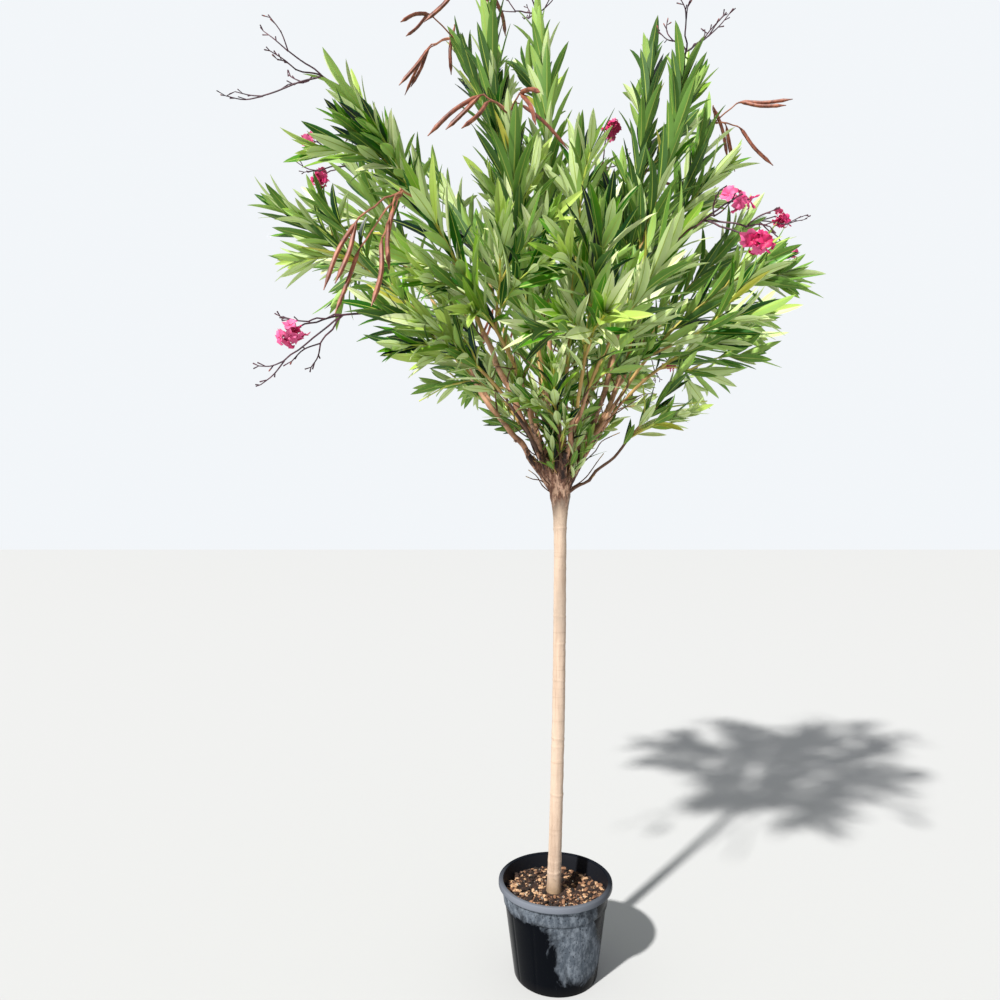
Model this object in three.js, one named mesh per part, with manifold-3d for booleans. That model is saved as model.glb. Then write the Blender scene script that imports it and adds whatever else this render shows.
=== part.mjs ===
// A potted oleander trained as a standard: one clean stem in a nursery pot, and on it a vase-shaped crown
// of long leafy shoots with blossom, bare flower stalks and slender seed pods. Millimetres, +Z up, and the
// origin is the middle of the pot's flat underside. The front of the plant faces -Y.

import * as THREE from "three";
import { mergeVertices } from "three/addons/utils/BufferGeometryUtils.js";
import Module from "manifold-3d";

const wasm = await Module();
wasm.setup();

// Driving dimensions

const GAP = 0.3; // between pieces that meet

const POT = {
  height: 256,
  rimRadius: 160,
  footRadius: 116,
  wall: 3,
  lipWidth: 7,
  lipHeight: 15,
  collarHeight: 46,
  collarStep: 3,
  panels: 12,
  grooveDepth: 1.5,
  drains: 8,
  drainRadius: 8,
};

const SOIL = { level: 220, rings: [36, 70, 108], sides: 22, bump: 7 }; // flat inside its first ring

const TRUNK = {
  foot: [-4, 0], // where it leaves the soil
  height: 1112, // from the soil to the middle of the head
  shift: 21, // how far its top has moved towards +X
  bow: 5,
  flareRadius: 22.5,
  footRadius: 18.8,
  topRadius: 17.4,
  swell: 15, // of the radius under the head
  sides: 10,
  rings: 12,
};

const HEAD = { radius: 33, height: 31 }; // the swollen fork that the boughs leave

const LIMB = { sides: 5, rings: 4, tipShare: 0.55, wander: 0.018, points: 12 };

const SHOOT = {
  root: 6, // radii to the corners of a three-sided shoot
  tip: 3.4,
  sideRoot: 4.2,
  sideTip: 3,
  sideCount: 2,
  from: [0.16, 0.58], // where side shoots leave, as shares of the stem
  spread: [30, 44], // degrees between a side shoot and its stem
  share: [0.46, 0.62], // of its stem's length
  rise: 0.04,
};

const LEAF = {
  length: 222,
  width: 40,
  thickness: 2.5,
  widest: 0.45, // share of the length from the root to the widest place
  camber: 9,
  whorl: 3,
  spacing: 132,
  first: 70, // from a shoot's root to its first whorl
  firstOnHead: 130,
  spread: [48, 20], // degrees off the shoot, at its root and at its tip
  room: 15, // between one leaf and the next
  fits: [[1, 1], [0.6, 1], [1.3, 0.85], [0.5, 0.75]], // the spreads and lengths that are tried, as shares
};

const STALK = { length: 95, branch: 100, radius: 2.4, branches: 2, spread: 26, sag: 0.3, droop: 0.6 };
const POD = { length: 150, radius: 5.5, tip: 1.6 };
const BLOSSOM = { radius: 23, blooms: 2, pitch: 26 };

// Each limb of the crown: the limb it leaves and how far along that one's bough, where it doesn't leave the
// head; the azimuth (0 is +X, 90 is away from the front), the lean from upright and the reach of its tip from
// the middle of the head; how far it arches above the straight line to there, and how much of it is a bare
// bough, as shares of its length; the bough's radius at its root; and, where not as usual, the number of its
// side shoots and how far along its leafy stem the first leaves are.
const SHOOTS = {
  top_middle: { tip: [138, 3, 1380], rise: 0.01, bare: 0.47, radius: 10 },
  left_high: { tip: [195, 29, 1240], rise: 0.03, bare: 0.48, radius: 11 },
  right_high: { tip: [19, 13, 1350], rise: -0.05, bare: 0.48, radius: 10.5 },
  right: { tip: [3, 22, 1130], rise: -0.02, bare: 0.47, radius: 9.5 },
  front: { tip: [276, 44, 760], rise: 0.06, bare: 0.42, radius: 8.5 },
  back: { tip: [100, 33, 960], rise: 0.06, bare: 0.42, radius: 9.5 },
  back_left_high: { tip: [143, 24, 1160], rise: 0.03, bare: 0.45, radius: 9 },
  far_left: { tip: [184, 44, 1110], rise: 0.05, bare: 0.45, radius: 9.5 },
  left_low: { tip: [214, 51, 705], rise: 0.11, bare: 0.45, radius: 7 },
  right_middle: { tip: [347, 41, 840], rise: 0.07, bare: 0.45, radius: 8 },
  back_right: { tip: [58, 45, 860], rise: 0.07, bare: 0.44, radius: 8.5 },
  lowest_left: { tip: [165, 42, 620], rise: 0.09, bare: 0.38, radius: 4.6 },
  right_twig: { tip: [337, 46, 460], rise: -0.07, bare: 0, sideCount: 0, first: 250 },
  front_low: { tip: [262, 40, 410], rise: 0.06, bare: 0 },
  left_flower: { from: ["far_left", 0.4], tip: [169, 32, 1150], rise: -0.02, bare: 0.38, radius: 6.5 },
  top_left: { from: ["top_middle", 0.75], tip: [174, 12, 1330], rise: 0.02, bare: 0.24, radius: 6 },
  top_front: { from: ["top_middle", 0.16], tip: [225, 13, 1250], rise: -0.03, bare: 0.42, radius: 7.5 },
  front_left: { from: ["left_high", 0.22], tip: [235, 43, 850], rise: 0.06, bare: 0.4, radius: 6.5 },
  upper_front: { tip: [244, 21, 920], rise: -0.02, bare: 0.4, radius: 7 },
  centre_back: { from: ["top_middle", 0.42], tip: [56, 15, 1030], rise: -0.04, bare: 0.34, radius: 6.5 },
  top_right: {
    from: ["right_high", 0.3],
    tip: [339, 17, 1190],
    rise: -0.03,
    bare: 0.4,
    radius: 7,
    sideCount: 0,
  },
  far_right: { from: ["right", 0.42], tip: [20, 36, 1090], rise: 0.03, bare: 0.36, radius: 6.5 },
  right_low: { from: ["right_middle", 0.45], tip: [6, 46, 770], rise: 0.06, bare: 0.3, radius: 5.5 },
  front_right: { from: ["front", 0.4], tip: [301, 38, 740], rise: 0.05, bare: 0.36, radius: 6.5 },
  back_left: { from: ["back", 0.4], tip: [128, 45, 900], rise: 0.06, bare: 0.36, radius: 6.5 },
  back_right_high: { from: ["back_right", 0.34], tip: [50, 26, 1100], rise: -0.02, bare: 0.42, radius: 7 },
  inner_front: { from: ["front", 0.18], tip: [291, 7, 940], rise: -0.03, bare: 0.3, radius: 6 },
  inner_back: { from: ["back", 0.16], tip: [120, 15, 880], rise: -0.03, bare: 0.3, radius: 6 },
};

// What the leafy stems end in, where it isn't leaves.
const ENDS = {
  stalks: ["top_middle", "left_high", "back_left_high", "top_right"],
  pods: ["right", "back", "top_left", "top_front", "front_left", "upper_front", "back_right_high"],
  blossom: ["left_low", "back_right", "left_flower", "centre_back", "far_right", "front_right"],
};

// Numbers, directions and solids

const vec = (x, y, z) => new THREE.Vector3(x, y, z);
const radians = THREE.MathUtils.degToRad;
const mix = THREE.MathUtils.lerp;
const UP = vec(0, 0, 1);
const SIDEWAYS = vec(1, 0, 0); // a direction that no limb takes
const FULL_TURN = 2 * Math.PI;

// A stream of numbers from 0 to 1 that is the same each time.
function seeded(seed) {
  let state = Math.imul(seed, 2654435761) >>> 0;
  return () => {
    state = (Math.imul(state, 1664525) + 1013904223) >>> 0;
    return state / 2 ** 32;
  };
}

// The unit vector that leans away from upright towards an azimuth, both in degrees.
function heading(azimuth, lean) {
  const flat = Math.sin(radians(lean));
  return vec(
    flat * Math.cos(radians(azimuth)),
    flat * Math.sin(radians(azimuth)),
    Math.cos(radians(lean)),
  );
}

// Two unit vectors square to a direction and to each other.
function across(way) {
  const u = vec(0, 0, 0).crossVectors(way, SIDEWAYS).normalize();
  return [u, vec(0, 0, 0).crossVectors(way, u)];
}

// A direction turned away from another by an angle, towards a point of the clock round it, both in radians.
function aside(way, angle, clock) {
  const [u, v] = across(way);
  return way
    .clone()
    .multiplyScalar(Math.cos(angle))
    .addScaledVector(u, Math.sin(angle) * Math.cos(clock))
    .addScaledVector(v, Math.sin(angle) * Math.sin(clock));
}

// The curve of a limb from its start to its tip: an arc above the straight line, which winds a little.
function arc(start, tip, rise, phase) {
  const chord = tip.clone().sub(start);
  const length = chord.length();
  const over = UP.clone().addScaledVector(chord, -chord.z / length ** 2).normalize();
  const side = vec(0, 0, 0).crossVectors(chord, over).normalize();
  const points = [];
  for (let i = 0; i <= LIMB.points; i++) {
    const t = i / LIMB.points;
    const wind = LIMB.wander * length * Math.sin(Math.PI * t);
    points.push(
      start
        .clone()
        .addScaledVector(chord, t)
        .addScaledVector(over, 4 * rise * length * t * (1 - t) + wind * Math.cos(phase + 5 * t))
        .addScaledVector(side, wind * Math.sin(phase + 5 * t)),
    );
  }
  return new THREE.CatmullRomCurve3(points);
}

// The stretch of a curve between two shares of its length, as a curve of its own.
function stretch(curve, from, to) {
  const points = [];
  for (let i = 0; i <= LIMB.points; i++) {
    points.push(curve.getPointAt(mix(from, to, i / LIMB.points)));
  }
  return new THREE.CatmullRomCurve3(points);
}

// A closed tube round a curve: a cylinder whose rings are moved onto it, each with its own radius.
function tube(curve, radiusAt, sides, rings) {
  const frames = curve.computeFrenetFrames(rings);
  const shape = new THREE.CylinderGeometry(1, 1, 1, sides, rings);
  const place = shape.attributes.position;
  for (let i = 0; i < place.count; i++) {
    const ring = Math.round((place.getY(i) + 0.5) * rings);
    const radius = radiusAt(ring / rings);
    const p = curve
      .getPointAt(ring / rings)
      .addScaledVector(frames.normals[ring], place.getX(i) * radius)
      .addScaledVector(frames.binormals[ring], -place.getZ(i) * radius);
    place.setXYZ(i, p.x, p.y, p.z);
  }
  return shape;
}

// A geometry's closed surface as a solid that can be joined and cut.
function solid(geometry) {
  const bare = geometry.clone();
  bare.deleteAttribute("normal");
  bare.deleteAttribute("uv");
  const merged = mergeVertices(bare, 1e-3);
  return new wasm.Manifold(
    new wasm.Mesh({
      numProp: 3,
      vertProperties: merged.attributes.position.array,
      triVerts: new Uint32Array(merged.index.array),
    }),
  );
}

// The named mesh of a solid's largest body.
function meshOf(name, whole, material) {
  const bodies = whole.decompose().sort((a, b) => b.volume() - a.volume());
  const { vertProperties, triVerts } = bodies[0].getMesh();
  const geometry = new THREE.BufferGeometry()
    .setAttribute("position", new THREE.BufferAttribute(vertProperties, 3))
    .setIndex(new THREE.BufferAttribute(triVerts, 1));
  geometry.computeVertexNormals();
  const mesh = new THREE.Mesh(geometry, material);
  mesh.name = name;
  return mesh;
}

const materials = {
  plastic: new THREE.MeshStandardMaterial({ color: 0x16181b, roughness: 0.55 }),
  soil: new THREE.MeshStandardMaterial({ color: 0x6b4a33, roughness: 1 }),
  bark: new THREE.MeshStandardMaterial({ color: 0xc2a383, roughness: 0.85 }),
  wood: new THREE.MeshStandardMaterial({ color: 0x7d6248, roughness: 0.85 }),
  foliage: new THREE.MeshStandardMaterial({ color: 0x3d6b1f, roughness: 0.5 }),
};

// The pot

const COLUMNS = 4; // of facets to a panel of the pot's wall

// The pot's outside radius at a height, without its collar and lip.
const potRadius = (z) =>
  mix(POT.footRadius, POT.rimRadius - POT.lipWidth - POT.collarStep, z / POT.height);

function pot() {
  const lipBase = POT.height - POT.lipHeight;
  const collarBase = lipBase - POT.collarHeight;
  const profile = [
    [0, 0],
    [potRadius(0), 0],
    [potRadius(collarBase), collarBase],
    [potRadius(collarBase) + POT.collarStep, collarBase],
    [potRadius(lipBase) + POT.collarStep, lipBase],
    [POT.rimRadius, lipBase],
    [POT.rimRadius, POT.height],
    [potRadius(POT.height) - POT.wall, POT.height],
    [potRadius(POT.wall) - POT.wall, POT.wall],
    [0, POT.wall],
  ];
  const shape = new THREE.LatheGeometry(
    profile.map(([r, z]) => new THREE.Vector2(r, z)),
    COLUMNS * POT.panels,
  );
  grooveWall(shape, collarBase);
  shape.rotateX(Math.PI / 2);
  return meshOf("pot", drained(solid(shape)), materials.plastic);
}

// Sinks the columns between the wall's panels, under the collar.
function grooveWall(shape, collarBase) {
  const place = shape.attributes.position;
  for (let i = 0; i < place.count; i++) {
    const [x, y, z] = [place.getX(i), place.getY(i), place.getZ(i)];
    const r = Math.hypot(x, z);
    const column = Math.round((Math.atan2(x, z) / FULL_TURN) * COLUMNS * POT.panels);
    const onWall = y <= collarBase && Math.abs(r - potRadius(y)) < 0.01;
    const sunk = (r - POT.grooveDepth) / r;
    if (onWall && column % COLUMNS === 0) place.setXYZ(i, x * sunk, y, z * sunk);
  }
}

// Cuts the ring of drain holes through the pot's floor.
function drained(whole) {
  for (let i = 0; i < POT.drains; i++) {
    const hole = new THREE.CylinderGeometry(POT.drainRadius, POT.drainRadius, 4 * POT.wall, 8);
    const turn = (i / POT.drains) * FULL_TURN;
    const out = 0.72 * POT.footRadius;
    hole.rotateX(Math.PI / 2);
    hole.translate(out * Math.cos(turn), out * Math.sin(turn), 0);
    whole = whole.subtract(solid(hole));
  }
  return whole;
}

// The potting soil, which fills the pot and is flat round the stem's foot.
function soil() {
  const clear = POT.wall + 2 * GAP;
  const foot = POT.wall + GAP;
  const edge = potRadius(SOIL.level) - clear;
  const profile = [[0, foot], [potRadius(foot) - clear, foot], [edge, SOIL.level]];
  for (const r of SOIL.rings.toReversed()) profile.push([r, SOIL.level]);
  profile.push([0, SOIL.level]);
  const shape = new THREE.LatheGeometry(
    profile.map(([r, z]) => new THREE.Vector2(r, z)),
    SOIL.sides,
  );
  const place = shape.attributes.position;
  for (let i = 0; i < place.count; i++) {
    const [x, y, z] = [place.getX(i), place.getY(i), place.getZ(i)];
    const r = Math.hypot(x, z);
    const loose = y > foot + 1 && r > SOIL.rings[0] + 1 && r < edge - 1;
    if (loose) place.setY(i, y + SOIL.bump * Math.sin(x / 19 + 1) * Math.cos(z / 23));
  }
  shape.rotateX(Math.PI / 2);
  return meshOf("soil", solid(shape), materials.soil);
}

// The trunk. The plant's own frame has its origin where the trunk leaves the soil.

const headCentre = vec(TRUNK.shift, 0, TRUNK.height);

function trunkSolid(grow) {
  const points = [-0.01, 0.25, 0.5, 0.75, 1].map((t) =>
    vec(TRUNK.shift * t + TRUNK.bow * Math.sin(Math.PI * t), 0, TRUNK.height * t),
  );
  const radiusAt = (t) => {
    const flare = (TRUNK.flareRadius - TRUNK.footRadius) * (1 - t) ** 24;
    return mix(TRUNK.footRadius, TRUNK.topRadius, t) + flare + TRUNK.swell * t ** 20 + grow;
  };
  const shaft = solid(tube(new THREE.CatmullRomCurve3(points), radiusAt, TRUNK.sides, TRUNK.rings));
  const head = new THREE.SphereGeometry(1, TRUNK.sides, 6);
  head.rotateX(Math.PI / 2);
  head.scale(HEAD.radius + grow, HEAD.radius + grow, HEAD.height + grow);
  head.translate(headCentre.x, headCentre.y, headCentre.z);
  return shaft.add(solid(head));
}

// A block under the soil's level, which makes the trunk's flat cut.
function belowSoil() {
  const block = new THREE.BoxGeometry(200, 200, 100);
  block.translate(0, 0, -50);
  return solid(block);
}

// The boughs

// A limb's curve, the part of it that is its bough, and its radii, from its row in SHOOTS.
function planLimb(name, row, index, planned) {
  const phase = FULL_TURN * seeded(index + 1)();
  const [azimuth, lean, reach] = row.tip;
  const [parent, along] = row.from ?? [];
  const start = parent ? planned.get(parent).bough.getPointAt(along) : headCentre;
  const tip = headCentre.clone().addScaledVector(heading(azimuth, lean), reach);
  const curve = arc(start, tip, row.rise, phase);
  const bough = row.bare > 0 ? stretch(curve, 0, row.bare) : undefined;
  const radiusAt = (t) => row.radius * mix(1, LIMB.tipShare, t);
  const end = Object.keys(ENDS).find((kind) => ENDS[kind].includes(name));
  const sideCount = row.sideCount ?? SHOOT.sideCount;
  const first = row.first ?? (bough ? LEAF.first : LEAF.firstOnHead);
  return { name, index, curve, bough, bare: row.bare, radiusAt, end, sideCount, first };
}

const limbs = new Map();
Object.entries(SHOOTS).forEach(([name, row], i) => limbs.set(name, planLimb(name, row, i, limbs)));
const boughs = [...limbs.values()].filter((limb) => limb.bough);

const limbSolid = (limb, grow) =>
  solid(tube(limb.bough, (t) => limb.radiusAt(t) + grow, LIMB.sides, LIMB.rings));

// The boughs' meshes, each cut clear of the trunk and of every bough made before it.
function boughMeshes(trunkRoom) {
  const taken = [trunkRoom];
  return boughs.map((limb) => {
    const whole = taken.reduce((rest, room) => rest.subtract(room), limbSolid(limb, 0));
    taken.push(limbSolid(limb, GAP));
    return meshOf("bough_" + limb.name, whole, materials.wood);
  });
}

// The masses of foliage

// The end of a stalk that sets out in a direction and sags outwards as far as it leans.
function sagging(start, way, length) {
  const out = vec(way.x, way.y, 0);
  const sag = out.clone().multiplyScalar(STALK.sag).addScaledVector(UP, -STALK.droop * out.length());
  return start.clone().addScaledVector(way, length).addScaledVector(sag, length);
}

// The leafy stem that goes on from a bough's tip, and the side shoots that leave it. A shoot's drawn curve
// also takes in the flower stalk that it ends in.
function planStems(limb) {
  const draw = seeded(100 + limb.index);
  const length = limb.curve.getLength();
  const stem = stretch(limb.curve, limb.bough ? limb.bare + GAP / length : 0, 1);
  const leafy = stem.getLength();
  const stalk = limb.end ? [sagging(stem.getPointAt(1), stem.getTangentAt(1), STALK.length)] : [];
  const drawn = new THREE.CatmullRomCurve3([...stem.points, ...stalk]);
  const { root, tip, sideRoot, sideTip } = SHOOT;
  const shoots = [{ curve: stem, drawn, first: limb.first, root, tip, rings: 7 }];
  const clock = FULL_TURN * draw();
  for (let k = 0; k < limb.sideCount; k++) {
    const at = mix(...SHOOT.from, (k + 0.6 * draw()) / SHOOT.sideCount);
    const way = stem.getTangentAt(at);
    const off = aside(way, radians(mix(...SHOOT.spread, draw())), clock + k * 0.4 * FULL_TURN);
    const reach = leafy * mix(...SHOOT.share, draw());
    const start = stem.getPointAt(at);
    const end = start.clone().addScaledVector(off, reach);
    const curve = arc(start, end, SHOOT.rise, FULL_TURN * draw());
    shoots.push({ curve, drawn: curve, first: LEAF.first, root: sideRoot, tip: sideTip, rings: 2 });
  }
  return shoots;
}

const masses = [...limbs.values()].map((limb) => ({ ...limb, shoots: planStems(limb) }));

// Points along a curve, a step apart, that stand for it in tests of distance.
const beads = (curve, step) => curve.getSpacedPoints(Math.ceil(curve.getLength() / step));

const BEAD_STEP = 30;
const massBeads = masses.map((mass) => beads(mass.shoots[0].curve, BEAD_STEP));
const limbBeads = boughs.flatMap((limb) =>
  beads(limb.bough, BEAD_STEP).map((p, i, all) => ({
    p,
    radius: limb.radiusAt(i / (all.length - 1)),
  })),
);

const nearest = (point, list) => Math.sqrt(Math.min(...list.map((p) => p.distanceToSquared(point))));

// True if a point is nearer to its own mass's shoots than to any other's, and clear of every bough.
function inOwnSpace(point, own, clearance) {
  const near = nearest(point, massBeads[own]) + clearance;
  const alone = massBeads.every((list, i) => i === own || nearest(point, list) > near);
  return alone && limbBeads.every(({ p, radius }) => p.distanceTo(point) > radius + clearance);
}

// Side shoots that would leave their mass's space are dropped, and the rest widen it.
masses.forEach((mass, i) => {
  mass.shoots = mass.shoots.filter(
    ({ curve }, k) => k === 0 || beads(curve, BEAD_STEP).slice(1).every((p) => inOwnSpace(p, i, 14)),
  );
});
masses.forEach((mass, i) => {
  massBeads[i] = mass.shoots.flatMap(({ curve }) => beads(curve, BEAD_STEP));
});

// A leaf is an octahedron drawn out from its root to its tip, with its waist lifted into an arch.
function leafGeometry({ root, way, up, length, width }) {
  const side = vec(0, 0, 0).crossVectors(way, up);
  const shape = new THREE.OctahedronGeometry(1);
  const place = shape.attributes.position;
  for (let i = 0; i < place.count; i++) {
    const [x, y, z] = [place.getX(i), place.getY(i), place.getZ(i)];
    const along = y < -0.5 ? 0 : y > 0.5 ? 1 : LEAF.widest;
    const lift = Math.abs(y) > 0.5 ? 0 : LEAF.camber;
    const p = root
      .clone()
      .addScaledVector(way, along * length)
      .addScaledVector(side, (x * width) / 2)
      .addScaledVector(up, lift + (z * LEAF.thickness) / 2);
    place.setXYZ(i, p.x, p.y, p.z);
  }
  return shape;
}

// Points on a leaf's edges and midrib that have to lie in its mass's space.
function leafPoints({ root, way, up, length, width }) {
  const side = vec(0, 0, 0).crossVectors(way, up);
  const points = [];
  for (const t of [0.25, LEAF.widest, 0.7, 1]) {
    const share = t < LEAF.widest ? t / LEAF.widest : (1 - t) / (1 - LEAF.widest);
    const along = root.clone().addScaledVector(way, t * length);
    const middle = along.addScaledVector(up, LEAF.camber * share);
    for (const s of t === 1 ? [0] : [-1, 0, 1]) {
      points.push(middle.clone().addScaledVector(side, (s * share * width) / 2));
    }
  }
  return points;
}

// True if a leaf comes too near to one that is there already.
const crowded = (points, leaves) =>
  leaves.some((leaf) => leaf.points.some((q) => points.some((p) => p.distanceTo(q) < LEAF.room)));

// Adds the whorls of leaves along a shoot. A leaf that doesn't fit is turned or shortened, or else left out.
function addLeaves({ curve, first }, own, leaves, draw) {
  const reach = curve.getLength();
  const whorls = Math.max(1, Math.round((reach - first) / LEAF.spacing));
  for (let w = 0; w <= whorls; w++) {
    const at = 0.985 * mix(first / reach, 1, w / whorls);
    const root = curve.getPointAt(at);
    const stem = curve.getTangentAt(at);
    const clock = (w % 2) * (FULL_TURN / 6) + 0.8 * draw();
    for (let k = 0; k < LEAF.whorl; k++) {
      const spread = radians(mix(...LEAF.spread, at) + 14 * (draw() - 0.5));
      const size = mix(0.8, 1.08, draw()) * (w === whorls ? 0.85 : 1);
      for (const [turn, shrink] of LEAF.fits) {
        const way = aside(stem, spread * turn, clock + (k / LEAF.whorl) * FULL_TURN);
        const up = stem.clone().addScaledVector(way, -stem.dot(way)).normalize();
        const length = LEAF.length * size * shrink;
        const leaf = { root, way, up, length, width: LEAF.width * size };
        leaf.points = leafPoints(leaf);
        if (crowded(leaf.points, leaves)) continue;
        if (!leaf.points.every((p) => inOwnSpace(p, own, 2))) continue;
        leaves.push(leaf);
        break;
      }
    }
  }
}

// The branches of the flower stalk that a stem ends in, which are bare or carry blossom or hanging pods.
function panicle(mass, draw) {
  if (!mass.end) return [];
  const stem = mass.shoots[0].drawn;
  const way = stem.getTangentAt(1);
  const fork = stem.getPointAt(1).addScaledVector(way, -8);
  const made = [];
  const clock = FULL_TURN * draw();
  for (let k = 0; k < STALK.branches; k++) {
    const off = aside(way, radians(STALK.spread), clock + (k / STALK.branches) * FULL_TURN);
    const end = sagging(fork, off, STALK.branch * mix(0.8, 1.2, draw()));
    const middle = fork.clone().lerp(end, 0.5);
    made.push(tube(new THREE.CatmullRomCurve3([fork, middle, end]), () => STALK.radius, 3, 1));
    if (mass.end === "pods") made.push(podGeometry(end, off));
    if (mass.end === "blossom") made.push(...bloomGeometries(end, off, draw));
  }
  return made;
}

// A slender pod that bends over from the end of its stalk and hangs.
function podGeometry(end, off) {
  const down = off.clone().addScaledVector(UP, -1.6).normalize();
  const root = end.clone().addScaledVector(off, -5);
  const bend = root.clone().addScaledVector(off, 12).addScaledVector(down, 0.3 * POD.length);
  const tip = bend.clone().addScaledVector(down, 0.7 * POD.length);
  const radiusAt = (t) => (t < 0.1 ? 2.5 : t > 0.9 ? POD.tip : POD.radius);
  return tube(new THREE.CatmullRomCurve3([root, bend, tip]), radiusAt, 3, 3);
}

// The blooms round the end of a stalk.
function bloomGeometries(end, off, draw) {
  const made = [];
  for (let k = 0; k < BLOSSOM.blooms; k++) {
    const bloom = new THREE.OctahedronGeometry(BLOSSOM.radius * mix(0.75, 1, draw()));
    const turn = FULL_TURN * draw();
    const middle = end.clone().addScaledVector(aside(off, 0.9, turn), k === 0 ? 8 : BLOSSOM.pitch);
    bloom.rotateZ(turn);
    bloom.translate(middle.x, middle.y, middle.z);
    made.push(bloom);
  }
  return made;
}

// The mesh of a mass of foliage. One that starts from the head is cut clear of the trunk and the boughs.
function foliageMesh(mass, own, rooms) {
  const draw = seeded(200 + own);
  const parts = mass.shoots.map(({ drawn, root, tip, rings }) =>
    tube(drawn, (t) => mix(root, tip, t), 3, rings),
  );
  const leaves = [];
  for (const shoot of mass.shoots) addLeaves(shoot, own, leaves, draw);
  const whole = wasm.Manifold.union(
    [...parts, ...leaves.map(leafGeometry), ...panicle(mass, draw)].map(solid),
  );
  const cut = mass.bough ? whole : rooms.reduce((rest, room) => rest.subtract(room), whole);
  return meshOf("foliage_" + mass.name, cut, materials.foliage);
}

// The whole

const plant = new THREE.Group();
plant.position.set(TRUNK.foot[0], TRUNK.foot[1], SOIL.level + GAP);
const trunkRoom = trunkSolid(GAP);
plant.add(meshOf("trunk", trunkSolid(0).subtract(belowSoil()), materials.bark));
for (const mesh of boughMeshes(trunkRoom)) plant.add(mesh);
const rooms = [trunkRoom, ...boughs.map((limb) => limbSolid(limb, GAP))];
masses.forEach((mass, i) => plant.add(foliageMesh(mass, i, rooms)));

const oleander = new THREE.Group();
oleander.add(pot(), soil(), plant);
export default oleander;
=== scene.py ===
from math import atan2, ceil, copysign, cos, exp, hypot, pi, radians, sin, sqrt

import bmesh
import bpy
import numpy as np
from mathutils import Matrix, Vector
from mathutils.noise import noise


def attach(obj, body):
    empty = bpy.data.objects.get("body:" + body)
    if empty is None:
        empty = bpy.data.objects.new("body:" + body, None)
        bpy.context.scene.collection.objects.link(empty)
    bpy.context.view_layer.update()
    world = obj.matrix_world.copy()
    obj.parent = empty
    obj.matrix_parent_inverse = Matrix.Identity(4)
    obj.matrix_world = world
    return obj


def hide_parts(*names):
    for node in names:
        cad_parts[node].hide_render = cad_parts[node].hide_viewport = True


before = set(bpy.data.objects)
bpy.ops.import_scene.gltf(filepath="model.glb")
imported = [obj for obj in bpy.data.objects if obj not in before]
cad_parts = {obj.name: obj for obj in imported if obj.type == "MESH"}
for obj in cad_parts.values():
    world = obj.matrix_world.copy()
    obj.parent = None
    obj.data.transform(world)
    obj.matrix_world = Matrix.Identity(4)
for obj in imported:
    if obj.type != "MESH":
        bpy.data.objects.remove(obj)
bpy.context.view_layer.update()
mm = 0.001
ops = bmesh.ops


def placed(name, data):
    made = bpy.data.objects.new(name, data)
    bpy.context.collection.objects.link(made)
    return made


def toMesh(bm, name):
    mesh = bpy.data.meshes.new(name)
    bm.to_mesh(mesh)
    bm.free()
    return mesh


# finishes, each of nodes that read the object's own coordinates


def shown(colour):
    # a colour as it shows on a screen, 0 to 255, or a grey from 0 to 1, for a shader; an output of a node stays
    if isinstance(colour, (int, float)):
        return (colour, colour, colour, 1)
    if isinstance(colour, bpy.types.NodeSocket):
        return colour
    parts = [c / 255 for c in colour]
    return (*[c / 12.92 if c < 0.04045 else ((c + 0.055) / 1.055) ** 2.4 for c in parts], 1)


def addNode(tree, kind, inputs=None, **settings):
    node = tree.nodes.new("ShaderNode" + kind)
    for key, value in settings.items():
        setattr(node, key, value)
    for key, value in (inputs or {}).items():
        if isinstance(value, bpy.types.NodeSocket):
            tree.links.new(value, node.inputs[key])
        else:
            node.inputs[key].default_value = value
    return node


def newFinish(name, **shaderValues):
    finish = bpy.data.materials.new(name)
    finish.use_nodes = True
    shader = finish.node_tree.nodes["Principled BSDF"]
    for key, value in shaderValues.items():
        shader.inputs[key.replace("_", " ")].default_value = value
    return finish, finish.node_tree, shader


def grain(tree, scale, stretch=(1, 1, 1), detail=6, roughness=0.6, distortion=0.0):
    where = addNode(tree, "TexCoord").outputs["Object"]
    laid = addNode(tree, "Mapping", {"Vector": where, "Scale": stretch}).outputs["Vector"]
    return addNode(tree, "TexNoise", {"Vector": laid, "Scale": scale, "Detail": detail, "Roughness": roughness,
                                      "Distortion": distortion}).outputs["Fac"]


def ramp(tree, factor, *stops):
    node = addNode(tree, "ValToRGB", {"Fac": factor})
    points = node.color_ramp.elements
    while len(points) < len(stops):
        points.new(0.5)
    for point, (place, colour) in zip(points, stops):
        point.position = place
        point.color = shown(colour)
    return node.outputs["Color"]


def mixed(tree, factor, first, second):
    return addNode(tree, "Mix", {0: factor, 6: shown(first), 7: shown(second)}, data_type="RGBA").outputs[2]


def across(tree, way, low, high):
    # 0 to 1 along a direction through the object, between two distances in metres
    where = addNode(tree, "TexCoord").outputs["Object"]
    along = addNode(tree, "VectorMath", {0: where, 1: way}, operation="DOT_PRODUCT").outputs["Value"]
    return addNode(tree, "MapRange", {"Value": along, "From Min": low, "From Max": high}).outputs["Result"]


def height(tree, low, high):
    return across(tree, (0, 0, 1), low, high)


def reckon(tree, operation, first, second):
    return addNode(tree, "Math", {0: first, 1: second}, operation=operation).outputs[0]


def wire(tree, shader, colour=None, rough=None, relief=None, strength=0.4, depth=0.001):
    if colour is not None:
        tree.links.new(colour, shader.inputs["Base Color"])
    if rough is not None:
        tree.links.new(rough, shader.inputs["Roughness"])
    if relief is not None:
        bump = addNode(tree, "Bump", {"Height": relief, "Strength": strength, "Distance": depth})
        tree.links.new(bump.outputs["Normal"], shader.inputs["Normal"])


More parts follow.
